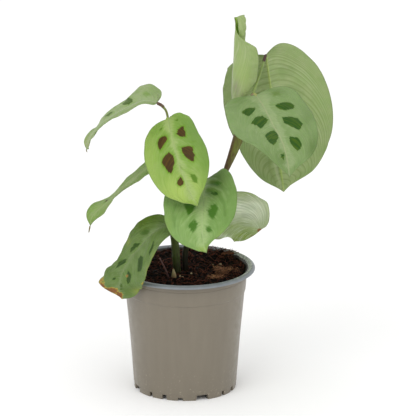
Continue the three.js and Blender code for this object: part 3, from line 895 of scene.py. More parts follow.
def outlineDistance(x, y, outline, closed=True):
    # mm from an outline given in pixels, below 0 inside it
    corners = np.array(outline, float)
    nearest, inside = np.full(x.shape, 1e3), np.zeros(x.shape, bool)
    ends = np.roll(corners, -1, axis=0)
    for (ax, ay), (bx, by) in list(zip(corners, ends))[:None if closed else -1]:
        dx, dy = bx - ax, by - ay
        t = np.clip(((x - ax) * dx + (y - ay) * dy) / (dx * dx + dy * dy), 0, 1)
        nearest = np.minimum(nearest, np.hypot(x - ax - t * dx, y - ay - t * dy))
        if closed and dy:
            inside ^= ((ay > y) != (by > y)) & (x < ax + (y - ay) * dx / dy)
    return np.where(inside, -nearest, nearest) * shot["mmEachPixel"]


def onSides(value):
    # a value for the left and the right half of a blade
    return value if isinstance(value, tuple) else (value, value)


def leafSurface(leaf, u, v):
    # u: 0 at the stalk to 1 at the tip; v: -1 at the left margin to 1 at the right one
    spots, distance, headings = leaf["route"]
    length = distance[-1]
    right, reach = v > 0, np.abs(v)
    hand = np.where(right, 1, -1)

    def side(key):
        return np.where(right, onSides(leaf[key])[1], onSides(leaf[key])[0])

    def bent(key, at):
        left, other = leaf[key]
        return np.radians(np.where(right, spread(other, at), spread(left, at)))

    half = side("half")
    share = (1 - np.cos(np.pi * u)) / 2
    pinch = 1 + side("sharp") * easeStep(0.5, 1, u)
    marginOut = half * np.maximum(np.sin(np.pi * u ** leaf["skew"]), 0) ** pinch
    for k, trim in enumerate(leaf["trim"]):  # where a margin is nibbled, torn or lobed
        if trim:
            scale = np.interp(u, [0, *[spot for spot, _ in trim]], [1, *[size for _, size in trim]])
            marginOut = marginOut * np.where(right == bool(k), scale, 1)
    marginAlong = length * share - side("lobe") * np.sin(np.pi * u) * (1 - u) ** 2 * 2.5
    spine = length * share ** 1.12
    x = spine + (marginAlong - spine) * reach ** 1.3
    y = marginOut * reach
    inside = np.clip(x, 0, length)
    forward = np.stack([np.interp(inside, distance, headings[:, k]) for k in range(3)], -1)
    forward /= np.linalg.norm(forward, axis=-1, keepdims=True)
    point = np.stack([np.interp(inside, distance, spots[:, k]) for k in range(3)], -1)
    point += forward * (x - inside)[..., None]
    facing = showSide - forward * (forward @ showSide)[..., None]
    facing /= np.linalg.norm(facing, axis=-1, keepdims=True)
    at = inside / length
    roll = np.radians(spread(leaf["roll"], at))[..., None]
    up = facing * np.cos(roll) + np.cross(forward, facing) * np.sin(roll)
    across = np.cross(forward, up)
    # each half leaves the midrib at its fold and then curls evenly to the margin
    fold = bent("fold", at)
    bend = bent("curl", at) / half
    bend = np.where(np.abs(bend) < 1e-6, 1e-6, bend)
    end = fold + bend * y
    wide = (np.sin(end) - np.sin(fold)) / bend
    high = (np.cos(fold) - np.cos(end)) / bend
    point = point + (hand * wide)[..., None] * across + high[..., None] * up
    face = up * np.cos(end)[..., None] - (hand * np.sin(end))[..., None] * across
    crease = np.exp(-(y / 0.9) ** 2)[..., None]  # the two halves run into each other
    face = face * (1 - crease) + up * crease
    face /= np.linalg.norm(face, axis=-1, keepdims=True)
    # side veins leave the midrib at a slant and bend to run along the margin
    slant, bow = leaf["veins"]
    lag = slant * reach + bow * reach ** 3
    vein = length * (u - lag) / (1 - lag)
    return {"point": point, "face": face, "along": x, "out": y, "hand": hand, "vein": vein,
            "edge": marginOut - y, "half": half, "length": length, "reach": reach}


def tracedLayer(at, traced):
    # mm to the nearest traced outline on the same half of the blade
    x, y = onPicture(at["point"])
    away = np.full(x.shape, 40.0)
    for hand, outline in traced:
        near = outlineDistance(x, y, outline)
        away = np.where(at["hand"] == hand, np.minimum(away, near), away)
    return away


def hiddenMarks(at, width):
    # two rows of marks, squared off between the side veins
    away = np.full(at["along"].shape, 40.0)
    count = len(lamina["hiddenLong"])
    for k in range(count):
        size = width * lamina["hiddenLong"][k]
        middle = at["length"] * (0.2 + 0.6 * k / (count - 1))
        out = at["half"] * lamina["hiddenOut"][k]
        dx = np.abs(at["along"] - middle - (0.45 - 0.1 * at["hand"]) * (at["out"] - out))
        dy = np.abs(at["out"] - out) / 1.5
        blocky = (dx ** 2.8 + dy ** 2.8) ** (1 / 2.8)
        away = np.minimum(away, (blocky - size / 2) * 0.8)
    return away


def gatheredVeins(at, gather):
    # veins that run together towards one spot at the margin, as curved rays about it
    x, y = onPicture(at["point"])
    dx, dy = x - gather["to"][0], y - gather["to"][1]
    angle = np.degrees(np.arctan2(dy, dx))
    angle = np.where(angle > 0, angle - 360, angle)
    return (angle + gather["bow"] * np.hypot(dx, dy)) * gather["mmEachDegree"]


def softPatches(at, patches):
    # soft round patches in pixels: x, y, half width, half height, strength
    x, y = onPicture(at["point"])
    total = np.zeros(x.shape)
    for middleX, middleY, wide, tall, strength in patches:
        squared = ((x - middleX) / wide) ** 2 + ((y - middleY) / tall) ** 2
        total = total + strength * np.exp(-squared)
    return np.clip(total, 0, 1)


def creaseRelief(at, creases):
    # mm that creases sink into the upper side: half, line in pixels, width and depth
    x, y = onPicture(at["point"])
    relief = np.zeros(x.shape)
    for hand, line, width, deep in creases:
        away = outlineDistance(x, y, line, False)
        relief = relief + np.where(at["hand"] == hand, deep * np.exp(-(away / width) ** 2), 0)
    return relief


def leafPattern(name, leaf, layers):
    # a material with the layers stored on the blade, and noises that run along its veins
    # the grain is drawn at 0.9 mm because the real cells, under 0.1 mm, would not show
    material, tree, at = newMaterial(name, {
        "cloud": (11, 3, 0.5), "grain": (0.9, 2, 0.5), "broken": (2.2, 3, 0.7)},
        ("hand", "vein", *layers))
    addSteps(tree, at, [
        ("flat", "CombineXYZ", None, {"X": "vein", "Y": "hand"}),
        ("off", "Math", {"operation": "ABSOLUTE"}, {0: "hand"})])
    # mm across the veins, mm along them
    for key, across, along, detail in (("streak", *leaf["streakSize"], 3), ("broad", 5, 30, 2),
                                       ("jag", 1.3, 3.2, 2)):
        addSteps(tree, at, [
            ("run", "Mapping", None, {"Vector": "flat", "Scale": (1 / across, 1 / along, 1)}),
            (key, "TexNoise", None, {"Vector": "run", "Scale": 1, "Detail": detail,
                                     "Roughness": 0.6})])
    # parallel veins, a little uneven
    for key, spacing in (("fine", lamina["fineVein"]), ("coarse", leaf["underVein"])):
        addSteps(tree, at, [
            ("drift", "Math", {"operation": "MULTIPLY_ADD"}, {0: "broad", 1: 2.5, 2: "vein"}),
            ("turn", "Math", {"operation": "MULTIPLY"}, {0: "drift", 1: 2 * math.pi / spacing}),
            (key, "Math", {"operation": "COSINE"}, {0: "turn"})])
    return material, tree, at


def finishLeaf(tree, at, tone, veinRelief, roughness, gloss):
    # leaf epidermis: a thin wax layer, so a broad soft gloss, with light let through
    at["height"] = at["fine"]
    for key, amount in (("streak", 3), ("coarse", veinRelief), ("grain", 0.8)):
        addSteps(tree, at, [("height", "Math", {"operation": "MULTIPLY_ADD"}, {
            0: key, 1: amount, 2: "height"})])
    finishSurface(tree, tone, (at["cloud"], 0, 1, roughness - 0.08, roughness + 0.1),
                  (at["height"], 0.3, 0.16), {
                      "IOR": 1.42, "Specular IOR Level": gloss, "Subsurface Weight": 0.12,
                      "Subsurface Scale": 1.2 * mm, "Subsurface Radius": (0.6, 1.0, 0.25)})


def upperSkin(name, leaf):
    # upper side: satin green, pale feathered midrib, dark marks between the side veins with
    # a brighter halo, fine parallel veins about 1 mm apart, and a thin darker margin;
    # painted shade in the creases and painted highlight on their ridges
    material, tree, at = leafPattern(name, leaf, (
        "edge", "marks", "shades", "wash", "warm", "burn", "relief"))
    scaled, less = {"operation": "MULTIPLY_ADD"}, {"operation": "SUBTRACT"}
    addSteps(tree, at, [
        # marks and shades have edges that step from vein to vein
        ("marks", "Math", scaled, {0: "jag", 1: 2.4, 2: "marks"}),
        ("marks", "Math", less, {0: "marks", 1: 1.2}),
        ("shades", "Math", scaled, {0: "jag", 1: 4, 2: "shades"}),
        ("shades", "Math", less, {0: "shades", 1: 2}),
        # burnt patches break up at their edges
        ("spoilt", "Math", scaled, {0: "broken", 1: 1.3, 2: -0.73}),
        ("scorch", "Math", scaled, {0: "burn", 1: 1.25, 2: "spoilt"}),
        # the pale band reaches further out where no mark is near, but not to the margin
        ("clear", "MapRange", None, {"Value": "marks", "From Min": 0.5, "From Max": 6,
                                     "To Min": -1.5, "To Max": leaf["feather"]}),
        ("ragged", "Math", scaled, {0: "streak", 1: 7, 2: "clear"}),
        ("inside", "Math", less, {0: "ragged", 1: "off"}),
        ("narrow", "Math", less, {0: "edge", 1: 3}),
        ("band", "Math", {"operation": "MINIMUM"}, {0: "inside", 1: "narrow"})])
    mark = layCoats(tree, at, leaf, "mark", [("markVein", "streak", 0.45, 0.62, 0.75)],
                    "SMOOTHSTEP")
    band, soft, streaks = leaf["band"], leaf["shadeSoft"], leaf["streaks"]
    tone = layCoats(tree, at, leaf, "green", [
        ("greenToo", "cloud", 0.3, 0.7, 1), ("washGreen", "wash"), ("warmGreen", "warm"),
        ("pale", "streak", 0.5, 0.75, streaks), ("deep", "streak", 0.5, 0.27, streaks),
        ("pale", "band", 2.5 - band, 8.5 - band, leaf["bandStrength"]),
        ("pale", "jag", 0.52, 0.72, 0.3), ("deep", "jag", 0.48, 0.3, 0.25),
        ("ribTop", "off", 1.0, 0.3, 0.5), ("deep", "fine", 0.3, 1, 0.13),
        # painted shade in the crease valleys and painted highlight on their ridges
        ("deep", "relief", 0.02, 0.6, 0.5), ("pale", "relief", -0.02, -0.6, 0.4),
        ("shade", "shades", soft, -soft * 0.6, 0.9),
        ("halo", "marks", 2.2, 0.2, leaf["haloStrength"]), (mark, "marks", 0.4, -0.4, 1),
        ("yellow", "scorch", 0.3, 0.46, 0.85), ("brown", "scorch", 0.42, 0.6, 0.92),
        ("rim", "edge", 0.65, 0.15, 0.5)], "SMOOTHSTEP")
    finishLeaf(tree, at, tone, 0.3, 0.5, leaf["gloss"])
    return material


def lowerSkin(name, leaf):
    # underside: paler and greyer, silvery bloom, clear parallel veins, dull sheen; on the
    # rear right leaf the silver and the pale streaks are painted sheen
    material, tree, at = leafPattern(name, leaf, (
        "edge", "marks", "silver", "burn", "wash", "relief"))
    streaks = leaf["underStreaks"]
    tone = layCoats(tree, at, leaf, "under", [
        ("underToo", "cloud", 0.3, 0.7, 1), ("silver", "silver"),
        ("underPale", "streak", 0.5, 0.72, streaks),
        ("underLine", "streak", 0.5, 0.3, streaks * 0.8),
        ("underLine", "coarse", 0.35, 1, leaf["lineStrength"]),
        # painted shade and painted highlight along the folds
        ("underLine", "fine", 0.2, 1, 0.15), ("underLine", "relief", 0.02, 0.6, 0.6),
        ("underPale", "relief", -0.02, -0.6, 0.6), ("underWash", "wash"),
        ("shade", "marks", 0.8, -0.8, 0.12), ("rib", "off", 1.5, 0.6, leaf["ribStrength"]),
        ("underBrown", "burn", 0.2, 0.7, 1), ("rim", "edge", 0.7, 0.2, 0.5)], "SMOOTHSTEP")
    finishLeaf(tree, at, tone, 1.2, 0.56, leaf["gloss"])
    return material


# looks that most leaves share; a leaf's own dictionary overrides them
leafLook = {
    "green": "#6b8a48", "greenToo": "#62823f", "washGreen": "#7a9944", "warmGreen": "#8a9c48",
    "pale": "#86a060", "deep": "#56783a", "shade": "#3d6420", "mark": "#23420d",
    "markVein": "#2f5216", "halo": "#5f8a30", "rim": "#6a7450", "ribTop": "#8fa866",
    "yellow": "#b39a34", "brown": "#74452a",
    "under": "#7a8d50", "underToo": "#72874a", "silver": "#8c957c", "underLine": "#637942",
    "underPale": "#8a9c62", "underWash": "#85a045", "rib": "#7f9440", "underBrown": "#8f5f38",
    # the pale band by the midrib: its half width and how far it feathers out, mm
    "band": 3.0, "feather": 3.0, "bandStrength": 0.8, "haloStrength": 0.3, "shadeSoft": 1.8,
    "streaks": 0.3, "streakSize": (1.5, 16), "underStreaks": 0.5, "underVein": 3.4,
    "lineStrength": 0.45, "ribStrength": 0.7, "gloss": 0.3,
    "ribHigh": 0.7, "strip": 13, "quilt": 0.3,  # mm; it puffs up between side veins a strip apart
    "marks": [], "shades": [], "creases": [], "wash": [], "warm": [], "burn": [], "silverAt": [],
    "hidden": None, "tail": None, "gather": None, "trim": (None, None), "veins": (0.2, 0.48),
    "rows": lamina["rows"],
    "ripple": (0.35, 26),  # height and length of the waves along the margin, mm
}


def withTail(leaf, at):
    # a dry thread at the tip: more rows after the blade's last one
    long, droop = leaf["tail"]
    spots, _, headings = leaf["route"]
    columns = at["out"].shape[1]
    across = np.cross(headings[-1], at["face"][-1, columns // 2])
    rows = []
    for t in np.linspace(0.05, 1, 7):
        middle = spots[-1] + headings[-1] * long * t + np.array(droop) * t * t
        rows.append(middle + np.linspace(-0.8, 0.8, columns)[:, None] * (1 - t) ** 0.4 * across)
    at["point"] = np.concatenate([at["point"], rows])
    for key in ("face", "along", "out", "hand", "vein", "edge", "reach"):
        at[key] = np.concatenate([at[key], np.repeat(at[key][-1:], len(rows), axis=0)])
    return len(rows)


def makeLeaf(name, ownLook):
    leaf = {**leafLook, **ownLook}
    leaf["route"] = throughPoints(leaf["midrib"], 60)
    rows, columns = leaf["rows"], lamina["columns"]
    u = np.linspace(0.006, 0.994, rows)[:, None] * np.ones(columns)
    t = np.linspace(-1, 1, columns)
    at = leafSurface(leaf, u, np.ones((rows, 1)) * np.sign(t) * np.abs(t) ** 1.4)
    tail = withTail(leaf, at) if leaf["tail"] else 0
    u = np.vstack([u, np.ones((tail, columns))])
    rows += tail
    reach, along = at["reach"], 2 * np.pi * at["along"]
    # the blade puffs up between its side veins, most about halfway out, and its margin waves
    puff = leaf["quilt"] * np.cos(2 * np.pi * at["vein"] / leaf["strip"])
    puff = puff * easeStep(0, 0.25, reach) * easeStep(1.05, 0.7, reach)
    high, long = leaf["ripple"]
    wave = np.sin(along / long + at["hand"] * 0.9) + 0.5 * np.sin(along / long * 2.3)
    relief = creaseRelief(at, leaf["creases"])
    puff = puff + high * wave * reach ** 3 * easeStep(0, 12, at["edge"] + at["out"]) - relief
    groove = -lamina["grooveDeep"] * np.exp(-(at["out"] / lamina["grooveHalf"]) ** 2)
    groove = groove * easeStep(1, 0.85, u)
    thick = lamina["thick"] * (1 - 0.4 * reach ** 2) / 2
    rib = leaf["ribHigh"] * np.exp(-(at["out"] / lamina["ribHalf"]) ** 2)
    rib = rib * (1 - 0.8 * u) * easeStep(1, 0.9, u)
    upper = at["point"] + at["face"] * (puff + groove + thick)[..., None]
    lower = at["point"] + at["face"] * (puff - thick - rib)[..., None]
    points = np.vstack([upper.reshape(-1, 3), lower.reshape(-1, 3)])
    total = rows * columns
    faces = gridFaces(rows, columns) + gridFaces(rows, columns, total, False)
    edge = gridBorder(rows, columns)
    looks = [0] * (len(faces) // 2) + [1] * (len(faces) // 2) + [0] * len(edge)
    faces += [(b, a, total + a, total + b) for a, b in zip(edge, edge[1:] + edge[:1])]
    marks = tracedLayer(at, leaf["marks"])
    if leaf["hidden"]:
        marks = np.minimum(marks, hiddenMarks(at, leaf["hidden"]))
    layers = {"hand": at["out"] * at["hand"], "vein": at["vein"], "edge": at["edge"],
              "marks": marks, "shades": tracedLayer(at, leaf["shades"]), "relief": relief}
    for layer, patches in (("wash", "wash"), ("warm", "warm"), ("burn", "burn"),
                           ("silver", "silverAt")):
        layers[layer] = softPatches(at, leaf[patches])
    layers["burn"][rows - tail:] = 1
    below = dict(layers)
    if leaf["gather"]:
        below["vein"] = gatheredVeins(at, leaf["gather"])
    layers = {key: np.concatenate([layers[key].ravel(), below[key].ravel()]) for key in layers}
    materials = [upperSkin(name + "Blade", leaf), lowerSkin(name + "Underside", leaf)]
    standFor(newPiece(name, points, faces, materials, layers, looks), leaf["node"])


# marks: -1 for the left half of a blade or 1 for its right, then corners in the photo's pixels
leafUpperLeft = {
    "node": "leaf_upper_left", "slot": "leaf_grey",
    "midrib": [(-24, 1, 253), (-35.5, 5, 253.5), (-53.5, 13.5, 243), (-71.5, 23.5, 228),
               (-83, 30, 209.5), (-84.3, 35, 200.5)],
    "roll": (61, 62, 64, 67, 70, 72, 73, 75, 83, 66, 50), "half": (20.5, 30.5),
    "fold": ((10, -4), (12, -7)), "curl": ((12, 8), (-13, -25)),
    "skew": 0.92, "sharp": 1, "lobe": (3.5, 4.5),
    "tail": (2.7, (0.9, 0, -0.5)),
    "green": "#90a16e", "greenToo": "#859a63", "washGreen": "#979c5f", "pale": "#9daa85",
    "deep": "#718953", "shade": "#718d48", "mark": "#435e18", "markVein": "#526c2a",
    "halo": "#79954b", "rim": "#7d8763", "ribTop": "#a4ae93",
    "feather": 4, "bandStrength": 0.4, "gloss": 0.1,
    "marks": [
        (1, [(122.3, 104.1), (128.2, 97.7), (132.3, 98.6), (132.7, 101.8), (129.1, 104.5),
             (123.6, 105.5)]),
        (1, [(104, 117.5), (107.7, 115), (110, 112.3), (113.2, 111.4), (111.8, 113.8),
             (107.7, 116.8)])],
    "shades": [(1, [(143.6, 93.6), (146.8, 92.3), (149.1, 94.1), (146.4, 95.9)])],
    "wash": [(88, 143, 4, 6, 0.5)],
}
makeLeaf("upperLeftLeaf", leafUpperLeft)

leafFront = {
    "node": "leaf_front", "slot": "leaf_pale",
    "midrib": [(-14.5, -4.5, 240), (-11.5, -19.5, 229.5), (-6, -35, 214.5), (-0.5, -47.5, 200),
               (5.5, -55, 188), (11, -61, 180)],
    "roll": (22, 12, 5, 1, -1, -3), "half": (26.5, 27.5),
    "fold": ((18, 11), (8, 11)), "curl": ((-17, -15), (-8, -11)),
    "skew": 0.95, "sharp": 1.3, "lobe": (4, 3),
    "trim": (
        ((0.025, 1.5), (0.05, 1.22), (0.09, 1.02), (0.15, 1.03), (0.2, 0.98), (0.25, 1.04),
         (0.3, 1.01), (0.35, 0.96), (0.4, 0.94), (0.45, 0.97), (0.5, 1), (1, 1)),
        ((0.3, 1), (0.36, 0.985), (0.45, 1.01), (0.72, 1), (0.76, 0.95), (0.8, 1), (0.84, 0.84),
         (0.87, 0.78), (0.9, 1.05), (1, 1))),
    "green": "#819e4d", "greenToo": "#74973c", "washGreen": "#66873d", "warmGreen": "#a1b75b",
    "pale": "#9bae6c", "deep": "#648922", "shade": "#486f00", "mark": "#3d2900",
    "markVein": "#553e00", "halo": "#5f8c00", "rim": "#708052", "ribTop": "#9eaf75",
    "feather": 3.5, "haloStrength": 0.6, "shadeSoft": 1.0,
    "marks": [
        (-1, [(182.1, 126.5), (183.9, 126.5), (183.9, 129.5), (185.3, 131), (185.7, 136.9),
              (181.6, 136.9), (176.6, 134.2), (178, 131.9), (177.3, 129.6)]),
        (1, [(162.5, 136.5), (166.6, 136.5), (166.9, 140.1), (159.8, 151), (158.5, 147.8),
             (157.3, 143.3), (158.9, 138.7)]),
        (1, [(168.9, 152.4), (173, 155.5), (174.5, 161.5), (173.5, 167.8), (171.2, 173.7),
             (168.9, 172.4), (165.3, 167.8), (161.8, 162.8), (163, 157.8)]),
        (-1, [(181.5, 147.4), (188, 146), (193, 146.9), (193, 151.5), (194.8, 155.1),
              (193.6, 161.9), (188.9, 159.6), (184.4, 155.5), (182.1, 151.5)]),
        (1, [(180.5, 176.9), (183, 180.5), (183.5, 184.2), (180.7, 186.4), (177.1, 184.2),
             (177.5, 180.5)])],
    "shades": [
        (-1, [(190.4, 174.8), (194.8, 174.4), (197.6, 178.5), (197.2, 182.8), (192.6, 181)]),
        (-1, [(175.3, 120.4), (178, 119), (177.3, 121)]),
        (1, [(160, 129.6), (162.8, 127.6), (162, 129.2)])],
    # creases: relief, also drawn as painted shade in valleys and painted highlight on ridges
    "creases": [
        (-1, [(179, 165.5), (186, 171.5), (193, 174.5)], 1.3, 0.5),
        (-1, [(176, 160), (184, 167), (194, 171), (200, 178)], 1.3, -0.4),
        (-1, [(181, 139), (190, 142), (196, 141)], 1.4, 0.4),
        (1, [(170, 134), (165, 143), (162, 152)], 1.6, 0.35)],
    # painted shade: the darker washes on the right half, away from the light
    "wash": [(197, 128, 16, 20, 0.95), (206, 160, 6, 20, 0.35)],
    "warm": [(180, 192, 24, 18, 0.9), (168, 122, 5, 9, 0.5), (150, 160, 9, 26, 0.5)],
}
makeLeaf("frontLeaf", leafFront)

leafMidLeft = {
    "node": "leaf_mid_left", "slot": "leaf_grey",
    "midrib": [(-25.5, 3, 199.5), (-43, -0.5, 186.5), (-58.5, -6, 174), (-71, -11, 164),
               (-79, -15, 156.5), (-80.8, -17, 148.6)],
    "roll": (67, 70, 73, 75, 77.5, 80.5, 81.5, 74, 62, 54, 48), "half": (22.5, 26),
    "fold": ((-2, 1), (0, 3)), "curl": ((10, 14), (-12, -13)),
    "skew": 0.97, "sharp": 1.4, "lobe": (5, 5),
    "tail": (4.6, (-0.1, 0, -1.2)),
    "green": "#83985a", "greenToo": "#799051", "washGreen": "#769647", "pale": "#96a473",
    "deep": "#657d3e", "mark": "#413d13", "markVein": "#4e491c", "rim": "#717d51",
    "ribTop": "#96a473",
    "bandStrength": 0.4, "gloss": 0.1,
    "marks": [(1, [(104.3, 202.6), (106.5, 199.8), (108.6, 199.2), (107, 201.4)])],
    # the patch by the base is painted shadow cast by the front leaf; the other a darker tone
    "wash": [(92, 210, 10, 12, 0.8), (146, 173, 5, 6, 0.5)],
}
makeLeaf("midLeftLeaf", leafMidLeft)

leafLowerLeft = {
    "node": "leaf_lower_left", "slot": "leaf_dark",
    "midrib": [(-12.5, -39.5, 158), (-25.5, -44.5, 152.5), (-36.3, -43, 140.9),
               (-45.7, -41, 128.6), (-53, -39.5, 115.6), (-56, -38.5, 102.7), (-54, -38, 90.1)],
    "roll": (37, 40, 42, 41, 36, 28, 20), "half": (31, 22.5),
    "fold": ((30, -2), (13, -14)), "curl": ((-6, -23), (-14, -24)),
    "skew": 1.0, "sharp": (-0.35, 0.9), "lobe": (6, 4.5),
    "trim": (
        ((0.25, 0.85), (0.4, 0.92), (0.5, 0.98), (0.6, 0.92), (0.68, 0.89), (0.75, 0.89),
         (0.82, 0.93), (0.88, 0.97), (1, 1)),
        ((0.47, 0.97), (0.52, 0.8), (0.57, 0.62), (0.62, 0.58), (0.67, 0.87), (0.7, 1.21),
         (0.72, 1.34), (0.745, 1.47), (0.77, 2.1), (0.785, 2.5), (0.8, 2.2), (0.82, 1.55),
         (0.85, 1.1), (0.9, 0.7), (1, 0.4))),
    "green": "#657c43", "greenToo": "#587035", "washGreen": "#465f00", "warmGreen": "#929b43",
    "pale": "#7b8b63", "deep": "#496423", "shade": "#345100", "mark": "#254200",
    "markVein": "#395312", "halo": "#567527", "rim": "#657036", "ribTop": "#728251",
    "feather": 2, "bandStrength": 0.45,
    "marks": [
        (1, [(130.5, 249.5), (135, 243.5), (140, 243), (139, 245.5), (134, 250), (130.5, 252.5)]),
        (1, [(116, 268.5), (118.5, 263), (123, 259.5), (126.5, 259), (126, 262.5), (121, 266)]),
        (1, [(112.5, 278), (116.5, 277.5), (116, 279.5), (113, 280)]),
        (-1, [(127, 274), (129, 270.5), (131.5, 275), (131, 281), (127.5, 284.5), (126.5, 280)]),
        (-1, [(153.5, 241), (154.5, 242.5), (152.5, 249), (149.5, 256), (149, 252), (151, 246)]),
        (-1, [(138.5, 259), (141, 256), (143, 257), (143, 265), (141, 271), (137.5, 272),
              (138, 265)])],
    "shades": [
        (1, [(141, 233.5), (146, 229.5), (150, 230.5), (147.5, 234), (144, 235.5)]),
        (-1, [(120.5, 285), (122, 284), (122, 290), (120.5, 290)])],
    "wash": [(150, 214, 18, 12, 1.0), (138, 226, 12, 9, 0.6)],
    "warm": [(149, 276, 3, 9, 0.8), (140, 291, 7, 3.5, 0.7), (153, 258, 2, 9, 0.4),
             (128, 241, 2.5, 4, 0.5)],
    "burn": [(101, 279.5, 5, 4.2, 0.44), (101, 286, 5, 2.8, 0.75), (111, 290, 7, 2.6, 0.95),
             (119, 295.5, 4.5, 3.4, 0.95), (127, 276, 1.5, 1.9, 0.7),
             (144, 283.5, 2.6, 2.8, 0.6)],
}
makeLeaf("lowerLeftLeaf", leafLowerLeft)

leafCentre = {
    "node": "leaf_centre", "slot": "leaf_pale",
    "midrib": [(16, -10.5, 186), (16.5, -26.5, 184.5), (15.5, -46, 177), (14.5, -69, 164.5),
               (15.5, -85.5, 155), (18.5, -93.5, 149)],
    "roll": (12, 10, 6, 8, 10, 13), "half": (29.5, 34),
    "fold": ((22, -1), (14, -10)), "curl": ((0, -20), (-9, -16)),
    "skew": 0.86, "sharp": 1.5, "lobe": (4.5, 4),
    "trim": (
        ((0.3, 1), (0.34, 0.985), (0.38, 1.005), (0.6, 1), (0.74, 0.99), (0.79, 0.94),
         (0.82, 0.99), (0.85, 0.88), (0.88, 1.02), (0.92, 0.9), (1, 1)),
        ((0.45, 1), (0.5, 0.985), (0.55, 1.005), (0.8, 0.99), (0.84, 1.03), (0.87, 0.93),
         (0.9, 1.04), (0.93, 0.9), (1, 1))),
    "green": "#809e5a", "greenToo": "#74964f", "washGreen": "#537127", "warmGreen": "#8ca64a",
    "pale": "#9cb377", "deep": "#5a7e37", "shade": "#356600", "mark": "#254e00",
    "markVein": "#396000", "halo": "#537f20", "rim": "#73854d", "ribTop": "#a2b57f",
    "feather": 4, "haloStrength": 0.35, "shadeSoft": 1.6,
    "marks": [
        (-1, [(209.4, 191.4), (216.2, 191.8), (218.8, 193.9), (214.4, 195.3), (211.2, 193.6)])],
    "shades": [
        (-1, [(207.1, 209.5), (210.3, 209.5), (211.2, 205.5), (216.2, 204.5), (218, 208.2),
              (215.7, 215.5), (212.5, 219.5), (208.9, 215.5)]),
        (1, [(184.4, 204.5), (190.7, 202.1), (195.7, 205.8), (192.1, 211.8), (188.5, 215),
             (185.7, 210)]),
        (1, [(188.5, 225), (194.8, 220.5), (197.5, 223.6), (196.6, 228.2), (193, 231.8),
             (189.4, 227.7)]),
        (-1, [(206.2, 227.3), (208.9, 226.8), (211.6, 230), (210.7, 232.3), (207.1, 231.4)]),
        # painted shade along a fold
        (-1, [(211.6, 183.6), (218, 182), (221.6, 183.2), (217.1, 185)])],
    # creases: relief, also drawn as painted shade in valleys and painted highlight on ridges
    "creases": [
        (-1, [(207, 184), (213, 183), (220, 184), (226, 190)], 1.3, 0.5),
        (-1, [(206, 192), (212, 191), (219, 195), (224, 204), (225, 215)], 1.4, 0.6),
        (-1, [(206, 181), (215, 180), (223, 184), (229, 194)], 1.2, -0.4),
        (-1, [(205, 188), (214, 188), (222, 191), (226, 200)], 1.2, -0.5),
        (-1, [(204, 197), (208, 197), (212, 199)], 1.2, -0.5),
        (1, [(203, 203), (196, 209), (190, 217), (182, 226)], 1.3, -0.5),
        (1, [(200, 228), (194, 236), (190, 242)], 1.3, -0.4),
        (1, [(176, 205), (173, 214), (175, 226)], 1.5, 0.4),
        (1, [(202, 235), (204, 243)], 1.3, 0.4)],
    # painted shadow cast by the front leaf across the top of this one
    "wash": [(216, 178, 12, 12, 0.85), (210, 192, 12, 8, 0.5)],
    "warm": [(204, 249, 6, 4, 0.8), (222, 236, 5, 5, 0.5), (168, 226, 4, 14, 0.3)],
}
makeLeaf("centreLeaf", leafCentre)

leafRearRight = {
    "node": "leaf_rear_right", "slot": "leaf_grey",
    "midrib": [(37, 13, 168.7), (39, 23.5, 156.7), (42, 35.5, 142.2), (43.5, 48, 126.7),
               (44, 58, 115.7), (42, 64.5, 108)],
    "roll": (186, 179, 177, 175, 175, 176), "half": (27, 31),
    "fold": ((-1, -8), (-1, -4)), "curl": ((-27, -32), (-26, -24)),
    "skew": 0.86, "sharp": 1.6, "lobe": (4, 4),
    "quilt": 0.1, "ribHigh": 0.2,
    # painted sheen: the silver and near-white pale streaks stand in for bright reflection
    "under": "#849d35", "underToo": "#9caf75", "silver": "#d5ddc2", "underLine": "#90a06f",
    "underPale": "#f5fae6",
    "streakSize": (1.0, 14), "underStreaks": 0.65, "lineStrength": 0.3, "ribStrength": 0,
    "gather": {"to": (259.3, 230.7), "bow": 1.75, "mmEachDegree": 0.45}, "hidden": 8,
    "burn": [(259.8, 230.5, 3.2, 2.2, 0.9), (253, 235.5, 4, 1.6, 0.5)],
    # painted sheen: where the silver is laid
    "silverAt": [(240, 209, 20, 12, 1.0), (258, 212, 12, 14, 0.8), (223, 236, 8, 3, 0.6)],
}
makeLeaf("rearRightLeaf", leafRearRight)

